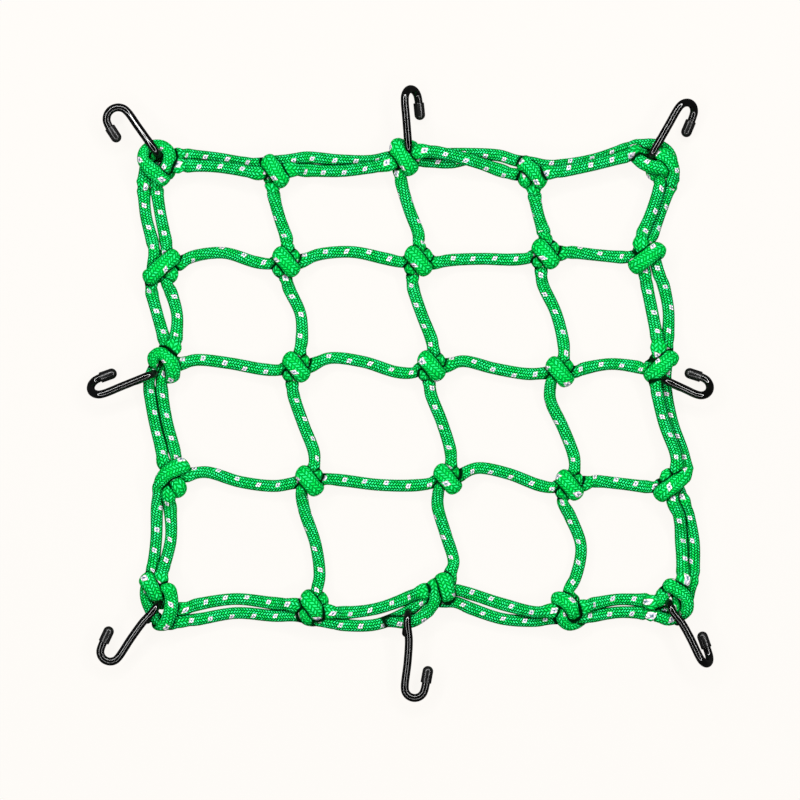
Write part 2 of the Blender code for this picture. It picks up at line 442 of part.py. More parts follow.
def smooth(stops, knot_step, span_step):
    """Points and swells along a smooth curve through the stops."""
    points = [stop.point for stop in stops]
    padded = [2 * points[0] - points[1]] + points + [2 * points[-1] - points[-2]]
    result = [(points[0], stops[0].swell)]
    for index, (first, last) in enumerate(zip(stops, stops[1:])):
        step = knot_step if first.inside or last.inside else span_step
        count = max(1, round((last.point - first.point).length / step))
        for part in range(1, count + 1):
            share = part / count
            swell = first.swell + (last.swell - first.swell) * share
            result.append((curve_point(padded[index:index + 4], share), swell))
    return result


# ---------------------------------------------------------------- hooks
# Where a hook's wire goes into its knot, which way it points (degrees, anticlockwise from +X), how
# far it reaches from there, the radius of its bend, how long the leg after the bend is, on which
# side of the shank that leg lies when looking outward (1 left, -1 right), how far the bend is rolled
# about the shank, how far the leg opens away from it (degrees), how far the bend and the middle of
# the shank lie to the leg's side of the straight line out of the knot, and how far the knot holds
# the bend above the surface.
Hook = namedtuple("Hook", "name x y heading reach bend leg side roll open shift bow rise")
HOOKS = (
    Hook("top_left", -125.7, 124.2, 125.6, 34.0, 6.1, 10.1, 1, 0.0, 2.5, 0.0, 0.0, 5.0),
    Hook("top_middle", 4.7, 124.8, 94.5, 34.0, 5.9, 10.6, -1, 53.0, 2.0, 0.0, 0.0, 0.0),
    Hook("top_right", 130.2, 123.2, 60.2, 35.1, 5.9, 11.6, -1, 40.5, 9.5, 0.0, 0.0, 0.0),
    Hook("left_middle", -127.9, 10.8, 201.9, 34.1, 5.9, 9.5, -1, 43.7, -3.3, 0.0, 0.0, 0.0),
    Hook("right_middle", 136.3, 8.0, 335.5, 25.3, 5.6, 9.4, 1, 32.0, -7.6, 0.0, 0.0, 2.0),
    Hook("bottom_left", -125.6, -108.6, 236.6, 40.7, 5.2, 11.9, -1, 0.0, 8.5, 1.9, 0.8, 5.0),
    Hook("bottom_middle", 4.3, -113.8, 263.8, 44.1, 5.2, 12.6, 1, 0.0, 4.1, 2.4, 1.2, 5.0),
    Hook("bottom_right", 140.0, -108.8, 295.1, 37.2, 5.6, 11.8, 1, 61.0, 11.3, 2.4, 1.0, 0.0),
)
EYE_RADIUS = 5.5            # of the eye's middle line, round one cord
EYE_CENTRE_HEIGHT = 7.7
EYE_TURN = (0, 270)         # the eye runs from its free end, under the cord and up to the shank
EYE_STEP = 30
BEND_PARTS = 6
SHANK_STATIONS = ((0.25, 1.0, 0.2), (0.6, 0.85, 0.1))   # share of the shank, of its bow, mm of lift
TIP_RADIUS = 2.8
TIP_LENGTH = 9.0
TIP_WALL = 1.4              # at the tip's closed end
TIP_STEPS = 12
FLOOR_GAP = 0.1


def hook_path(hook):
    """The wire's middle line, from the eye's free end to the end inside the tip, the tip's far end
    and the way the leg points, mm."""
    angle = math.radians(hook.heading)
    out = Vector((math.cos(angle), math.sin(angle), 0))
    up = Vector((0, 0, 1))
    beside = Vector((-out.y, out.x, 0)) * hook.side
    roll = math.radians(hook.roll)
    spread = math.radians(hook.open)
    across = beside * math.cos(roll) - up * math.sin(roll)
    entry = Vector((hook.x, hook.y, 0)) + SHIFT
    eye = entry + out * EYE_RADIUS + up * EYE_CENTRE_HEIGHT
    path = []
    for degrees in range(EYE_TURN[0], EYE_TURN[1] + 1, EYE_STEP):
        turn = math.radians(-degrees)
        path.append(eye + EYE_RADIUS * (math.cos(turn) * out + math.sin(turn) * up))
    width = hook.bend * (1 + math.cos(spread)) + max(0.0, hook.leg * math.sin(spread))
    shank_height = TIP_RADIUS + FLOOR_GAP + hook.rise + width * math.sin(roll)
    bend = entry + out * (hook.reach - hook.bend) + beside * hook.shift + up * shank_height
    start = path[-1]
    for share, bow, lift in SHANK_STATIONS:
        path.append(start.lerp(bend, share) + beside * hook.bow * bow + up * lift)
    centre = bend + across * hook.bend
    for part in range(BEND_PARTS + 1):
        turn = (math.pi - spread) * part / BEND_PARTS - math.pi / 2
        path.append(centre + hook.bend * (math.cos(turn) * out + math.sin(turn) * across))
    back = across * math.sin(spread) - out * math.cos(spread)
    leg_end = path[-1] + back * hook.leg
    path.append(leg_end - back * (TIP_WALL + WIRE_GAP))
    return path, leg_end, back


# ---------------------------------------------------------------- making the objects
def clear_scene():
    for item in list(bpy.data.objects):
        bpy.data.objects.remove(item, do_unlink=True)


def make_collection(name):
    collection = bpy.data.collections.new(name)
    bpy.context.scene.collection.children.link(collection)
    return collection


def make_material(name, colour, roughness, metallic=0.0, coat=0.0):
    material = bpy.data.materials.new(name)
    material.use_nodes = True
    shader = material.node_tree.nodes["Principled BSDF"]
    shader.inputs["Base Color"].default_value = (*colour, 1.0)
    shader.inputs["Roughness"].default_value = roughness
    shader.inputs["Metallic"].default_value = metallic
    shader.inputs["Coat Weight"].default_value = coat
    material.diffuse_color = (*colour, 1.0)
    return material


def tube(name, path, diameter, sides_level, collection):
    """A round bar along a path of (point, swell) in mm, as a closed mesh in metres."""
    data = bpy.data.curves.new(name, "CURVE")
    data.dimensions = "3D"
    data.bevel_depth = diameter / 2 * MM
    data.bevel_resolution = sides_level
    data.use_fill_caps = True
    data.twist_mode = "MINIMUM"
    spline = data.splines.new("POLY")
    spline.points.add(len(path) - 1)
    for place, (point, swell) in zip(spline.points, path):
        place.co = (*(point * MM), 1.0)
        place.radius = swell
    guide = bpy.data.objects.new(f"{name}_guide", data)
    collection.objects.link(guide)
    bpy.context.view_layer.update()
    evaluated = guide.evaluated_get(bpy.context.evaluated_depsgraph_get())
    mesh = bpy.data.meshes.new_from_object(evaluated)
    bpy.data.objects.remove(guide, do_unlink=True)
    shell = bmesh.new()
    shell.from_mesh(mesh)
    bmesh.ops.remove_doubles(shell, verts=shell.verts, dist=0.00001)
    bmesh.ops.triangulate(shell, faces=shell.faces)
    bmesh.ops.recalc_face_normals(shell, faces=shell.faces)
    shell.to_mesh(mesh)
    shell.free()
    mesh.name = name
    return mesh


def join_meshes(name, meshes, collection):
    """One object that holds the faces of several meshes."""
    whole = bmesh.new()
    for mesh in meshes:
        whole.from_mesh(mesh)
        bpy.data.meshes.remove(mesh)
    data = bpy.data.meshes.new(name)
    whole.to_mesh(data)
    whole.free()
    item = bpy.data.objects.new(name, data)
    collection.objects.link(item)
    return item


def hide_cutter(item):
    item.hide_render = True
    item.display_type = "WIRE"


def box(name, low, high, collection):
    """A plain box between two corners in mm."""
    shape = bmesh.new()
    bmesh.ops.create_cube(shape, size=1.0)
    middle = (low + high) / 2 * MM
    size = (high - low) * MM
    for vertex in shape.verts:
        vertex.co = Vector(part * scale for part, scale in zip(vertex.co, size)) + middle
    data = bpy.data.meshes.new(name)
    shape.to_mesh(data)
    shape.free()
    item = bpy.data.objects.new(name, data)
    collection.objects.link(item)
    return item


def cut_mesh(item, cutter, join_strands=False):
    """Cut one object by another and bake the result; the first cut also joins strands that cross."""
    boolean = item.modifiers.new("cut", "BOOLEAN")
    boolean.operation = "DIFFERENCE"
    boolean.solver = "EXACT" if join_strands else "MANIFOLD"
    boolean.use_self = join_strands
    boolean.object = cutter
    bake_modifiers(item)
    bpy.data.objects.remove(cutter, do_unlink=True)


def bake_modifiers(item):
    evaluated = item.evaluated_get(bpy.context.evaluated_depsgraph_get())
    baked = bpy.data.meshes.new_from_object(evaluated)
    item.modifiers.clear()
    item.data = baked


def keep_outer_body(item):
    """Drop the pockets between the turns of a knot, and any crumb that a cut leaves."""
    shape = bmesh.new()
    shape.from_mesh(item.data)
    bmesh.ops.triangulate(shape, faces=shape.faces)
    bodies = []
    waiting = set(shape.faces)
    while waiting:
        body = [waiting.pop()]
        for face in body:
            for edge in face.edges:
                for other in edge.link_faces:
                    if other in waiting:
                        waiting.remove(other)
                        body.append(other)
        bodies.append(body)
    largest = max(bodies, key=len)
    for body in bodies:
        if body is not largest:
            bmesh.ops.delete(shape, geom=body, context="FACES")
    shape.to_mesh(item.data)
    shape.free()


def make_net(collection, cutters, material):
    """All cords as one body, fused at the knots, flat under the knots and open for the hooks."""
    strands = []
    for number, route in enumerate(ROUTES):
        path = smooth(walk(route), KNOT_STEP, SPAN_STEP)
        strands.append(tube(f"cord_{number}", path, CORD * FACET_GROWTH, NET_SIDES, cutters))
    net = join_meshes("net", strands, collection)
    cut_mesh(net, floor_cutter(-ROUGH_FLOOR, cutters), join_strands=True)
    keep_outer_body(net)
    thinner = net.modifiers.new("fewer_faces", "DECIMATE")
    thinner.ratio = FACE_SHARE
    bake_modifiers(net)
    cut_mesh(net, floor_cutter(0.0, cutters))
    cut_mesh(net, hook_cutter(cutters))
    keep_outer_body(net)
    net.data.name = "net"
    finish(net, material)
    return net


def floor_cutter(height, collection):
    low = Vector((-FLOOR_HALF, -FLOOR_HALF, -CORD))
    high = Vector((FLOOR_HALF, FLOOR_HALF, height))
    cutter = box("floor_cutter", low, high, collection)
    hide_cutter(cutter)
    return cutter


def hook_cutter(collection):
    """The room that the hooks take in the knots, a little wider than their wire."""
    width = (WIRE + 2 * WIRE_GAP) / math.cos(math.pi / WIRE_FACES)
    channels = []
    for hook in HOOKS:
        path, _, _ = hook_path(hook)
        longer = [path[0] + (path[0] - path[1]).normalized() * WIRE_GAP] + path[1:]
        route = [(point, 1.0) for point in longer]
        channels.append(tube(f"channel_{hook.name}", route, width, WIRE_SIDES, collection))
    cutter = join_meshes("hook_cutter", channels, collection)
    hide_cutter(cutter)
    return cutter


def finish(item, material):
    item.data.materials.clear()
    item.data.materials.append(material)
    item.data.shade_smooth()
    item.data.set_sharp_from_angle(angle=math.radians(40))


def make_hook(hook, collection, material):
    path, _, _ = hook_path(hook)
    name = f"hook_{hook.name}"
    mesh = tube(name, [(point, 1.0) for point in path], WIRE, WIRE_SIDES, collection)
    item = bpy.data.objects.new(name, mesh)
    collection.objects.link(item)
    finish(item, material)


def make_tip(hook, collection, material):
    """A rounded cap over the wire's end: a turned profile, from its closed end to its bore."""
    _, leg_end, back = hook_path(hook)
    bore = WIRE / 2 + WIRE_GAP
    profile = [(TIP_RADIUS * math.sin(turn), -TIP_RADIUS * (1 - math.cos(turn)))
               for turn in (math.radians(degrees) for degrees in (0, 35, 65, 90))]
    profile += [(TIP_RADIUS, -TIP_LENGTH), (bore, -TIP_LENGTH), (bore, -TIP_WALL), (0.0, -TIP_WALL)]
    shape = bmesh.new()
    row = [shape.verts.new((radius * MM, 0.0, height * MM)) for radius, height in profile]
    for one, two in zip(row, row[1:]):
        shape.edges.new((one, two))
    name = f"tip_{hook.name}"
    data = bpy.data.meshes.new(name)
    shape.to_mesh(data)
    shape.free()
    item = bpy.data.objects.new(name, data)
    collection.objects.link(item)
    item.location = leg_end * MM
    item.rotation_euler = back.to_track_quat("Z", "Y").to_euler()
    turned = item.modifiers.new("turned", "SCREW")
    turned.steps = TIP_STEPS
    turned.render_steps = TIP_STEPS
    turned.use_merge_vertices = True
    turned.merge_threshold = 0.00001
    turned.use_smooth_shade = True
    data.materials.append(material)


def main():
    clear_scene()
    parts = make_collection("cargo_net")
    cutters = make_collection("cutters")
    cord_green = make_material("cord_green", (0.0, 0.40, 0.07), 0.75)
    coated_black = make_material("coated_black", (0.012, 0.012, 0.013), 0.25, coat=0.5)
    tip_black = make_material("tip_black", (0.015, 0.015, 0.016), 0.5)
    make_net(parts, cutters, cord_green)
    for hook in HOOKS:
        make_hook(hook, parts, coated_black)
        make_tip(hook, parts, tip_black)


main()
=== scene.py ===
"""Looks of the cargo net: braided elastic cord, coated wire hooks and their plastic tips.

The tables are in millimetres, but for the turns of a knot, whose units stand with them. Meshes are in
metres, +Z up.
"""
import math
from collections import namedtuple

import bmesh
import bpy
import numpy as np
from mathutils import Matrix, Quaternion, Vector
from mathutils.kdtree import KDTree


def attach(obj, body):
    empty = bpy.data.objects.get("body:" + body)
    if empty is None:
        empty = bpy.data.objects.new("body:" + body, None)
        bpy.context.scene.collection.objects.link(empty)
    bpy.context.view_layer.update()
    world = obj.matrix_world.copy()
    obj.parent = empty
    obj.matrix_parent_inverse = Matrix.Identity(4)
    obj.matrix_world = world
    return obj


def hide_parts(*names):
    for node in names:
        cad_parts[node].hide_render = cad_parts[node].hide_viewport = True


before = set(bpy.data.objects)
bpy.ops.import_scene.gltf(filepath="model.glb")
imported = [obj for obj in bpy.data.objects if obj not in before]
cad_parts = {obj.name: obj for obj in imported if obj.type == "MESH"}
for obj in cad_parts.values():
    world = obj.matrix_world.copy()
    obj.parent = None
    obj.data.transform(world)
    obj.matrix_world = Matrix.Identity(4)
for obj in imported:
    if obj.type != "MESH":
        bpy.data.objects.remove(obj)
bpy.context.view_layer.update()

MM = 0.001

# ---- driving sizes, mm
CORD = 6.3                  # diameter of the elastic cord
TURN_UNIT = 6.0             # the unit of the knots' tables across the net, mm
KNOT_REACH = 8.4            # from a knot's middle to where a cord leaves it
CORNER_REACH = 11.5         # the same, at the four corner knots
THROUGH_HEIGHT = 1.10       # height of a rim cord inside an edge knot, in cord diameters
SPAN_HEIGHTS = (0.95, 0.64, 0.53, 0.64, 0.95)   # along a span, in cord diameters
SPAN_STATIONS = (0.25, 0.5, 0.75)
WIRE = 4.2                  # diameter of the coated hook wire
WIRE_GAP = 0.35             # room between the wire and the inside of its tip

# ---- where the knots lie
Knot = namedtuple("Knot", "row column x y")
KNOTS = [Knot(*row) for row in (
    (1, 1, -126.8, 121.1), (1, 2, -65.8, 116.9), (1, 3, 2.1, 124.8),
    (1, 4, 68.4, 115.4), (1, 5, 134.2, 122.1),
    (2, 1, -124.2, 65.8), (2, 2, -59.5, 68.9), (2, 3, 9.4, 69.4),
    (2, 4, 75.7, 73.1), (2, 5, 128.9, 70.5),
    (3, 1, -123.7, 16.2), (3, 2, -54.3, 14.1), (3, 3, 16.2, 14.6),
    (3, 4, 83.0, 11.5), (3, 5, 136.8, 16.2),
    (4, 1, -119.0, -43.8), (4, 2, -47.5, -45.4), (4, 3, 24.5, -44.4),
    (4, 4, 88.2, -47.5), (4, 5, 142.0, -47.5),
    (5, 1, -125.3, -107.5), (5, 2, -45.9, -111.2), (5, 3, 20.9, -102.3),
    (5, 4, 87.2, -111.7), (5, 5, 142.0, -108.6),
)]
SHIFT = Vector((0.0, -0.4, 0.0))        # brings the middle of the whole piece over the origin
PLACE = {(knot.row, knot.column): Vector((knot.x, knot.y, 0.0)) + SHIFT for knot in KNOTS}
CORNERS = {(1, 1), (1, 5), (5, 1), (5, 5)}
LAST = 5

# ---- how far each span sways
# Each row is one stretch of cord between the knot (row, column) and the next one to the right or
# below. The five values are its distance from the straight line between the two knots where it
# leaves the first, at a quarter, at the middle, at three quarters, and where it meets the second:
# upward is positive on a span that runs across, and to the right on one that runs down. The two
# rim cords are the outer and the inner one, and the rest are the net's own.
Sway = namedtuple("Sway", "cord row column start quarter middle three_quarter end")


def sways(cord, *rows):
    return [Sway(cord, *row) for row in rows]


ACROSS = sways(
    "outer",
    (1, 1, 4.4, 4.6, 4.2, 2.6, 2.6), (1, 2, 4.2, 4.6, 1.2, -1.1, -0.4),
    (1, 3, 2.0, 2.8, 5.3, 6.7, 5.3), (1, 4, 2.9, 2.4, 3.7, 7.4, 8.4),
    (5, 1, -10.4, -9.2, -5.0, -5.5, -4.9), (5, 2, -8.9, -11.6, -13.6, -8.9, -4.1),
    (5, 3, -5.2, -7.5, -10.5, -9.0, -6.6), (5, 4, -5.5, -4.9, -3.8, -5.0, -5.3),
) + sways(
    "inner",
    (1, 1, -1.0, -0.9, -0.4, -1.6, -2.5), (1, 2, -1.0, -2.0, -4.6, -4.7, -4.1),
    (1, 3, 2.8, 3.6, 2.2, -0.8, -2.0), (1, 4, -0.9, -0.9, 0.8, 3.5, 4.6),
    (5, 1, -4.2, -1.4, 2.3, 1.0, 0.7), (5, 2, -3.4, -5.2, -5.4, -1.9, 0.8),
    (5, 3, 1.2, 0.1, -2.9, -4.3, -2.4), (5, 4, 0.0, 1.3, 2.9, 1.3, 0.4),
) + sways(
    "net",
    (2, 1, 1.7, 5.2, 6.3, 0.8, -0.6), (2, 2, 0.5, 3.8, 5.0, 1.4, -0.5),
    (2, 3, -1.4, -0.5, -0.7, -2.0, -1.6), (2, 4, 0.8, 1.5, 0.8, 0.3, 0.6),
    (3, 1, -0.3, 2.1, 0.9, -1.7, -1.8), (3, 2, 1.0, 4.5, 2.4, -3.1, -3.2),
    (3, 3, 0.8, 3.3, 0.2, -1.8, -1.1), (3, 4, -0.7, 0.7, 1.8, -0.8, -2.5),
    (4, 1, 1.8, 3.4, -1.3, -3.0, -1.3), (4, 2, 0.9, 0.0, -2.5, -3.1, -2.0),
    (4, 3, 3.3, 6.5, 4.4, -0.8, -1.7), (4, 4, 1.0, 1.9, 0.7, -0.9, -1.0),
)
DOWN = sways(
    "outer",
    (1, 1, -7.4, -7.6, -7.2, -4.4, -3.5), (2, 1, -5.6, -5.6, -2.6, 0.7, 1.3),
    (3, 1, -7.7, -8.1, -6.9, -4.4, -3.8), (4, 1, -6.2, -6.3, -5.1, -5.5, -6.4),
    (1, 5, 9.0, 8.4, 4.9, 1.6, 0.5), (2, 5, 5.1, 6.6, 7.3, 5.0, 3.7),
    (3, 5, 0.9, 0.9, 3.1, 7.3, 8.0), (4, 5, 5.8, 8.4, 11.5, 11.0, 10.2),
) + sways(
    "inner",
    (1, 1, -0.8, -0.9, 0.5, 2.6, 3.0), (2, 1, 2.6, 4.4, 7.6, 6.7, 5.7),
    (3, 1, -1.2, -1.7, -0.5, 2.2, 2.9), (4, 1, -0.7, 0.6, 2.5, 0.2, -0.6),
    (1, 5, 2.4, 2.6, 0.2, -3.7, -4.5), (2, 5, -2.3, -2.1, -1.3, -0.8, -0.9),
    (3, 5, -4.5, -4.0, -1.5, 3.0, 2.8), (4, 5, 0.0, 3.2, 5.0, 5.5, 5.7),
) + sways(
    "net",
    (1, 2, -1.6, -1.9, -0.5, 1.9, 1.6), (2, 2, -0.9, 0.2, 5.0, 4.3, 2.9),
    (3, 2, -3.0, -2.9, 0.4, 4.3, 3.7), (4, 2, -3.9, -2.5, 2.6, 4.3, 2.6),
    (1, 3, -3.0, -3.3, -1.2, 2.1, 1.4), (2, 3, -3.9, -4.3, -1.6, 2.0, 2.3),
    (3, 3, -2.2, -2.1, 1.6, 3.9, 3.3), (4, 3, -4.2, -3.9, 1.2, 6.2, 4.7),
    (1, 4, 0.0, -0.2, 0.0, 1.3, 1.1), (2, 4, -3.1, -3.1, 2.1, 4.1, 3.5),
    (3, 4, -5.4, -5.8, -0.3, 3.9, 3.6), (4, 4, -3.3, 0.7, 6.8, 4.2, 0.4),
)

# ---- how a cord turns inside a knot
# From the knot's middle: to the right and upward in TURN_UNIT, and above the surface in cord
# diameters. Swell is how much wider than the cord it is squeezed there, 1 where a row leaves it out.
Turn = namedtuple("Turn", "right up height swell", defaults=(1.0,))


def turns(*rows):
    return [Turn(*row) for row in rows]


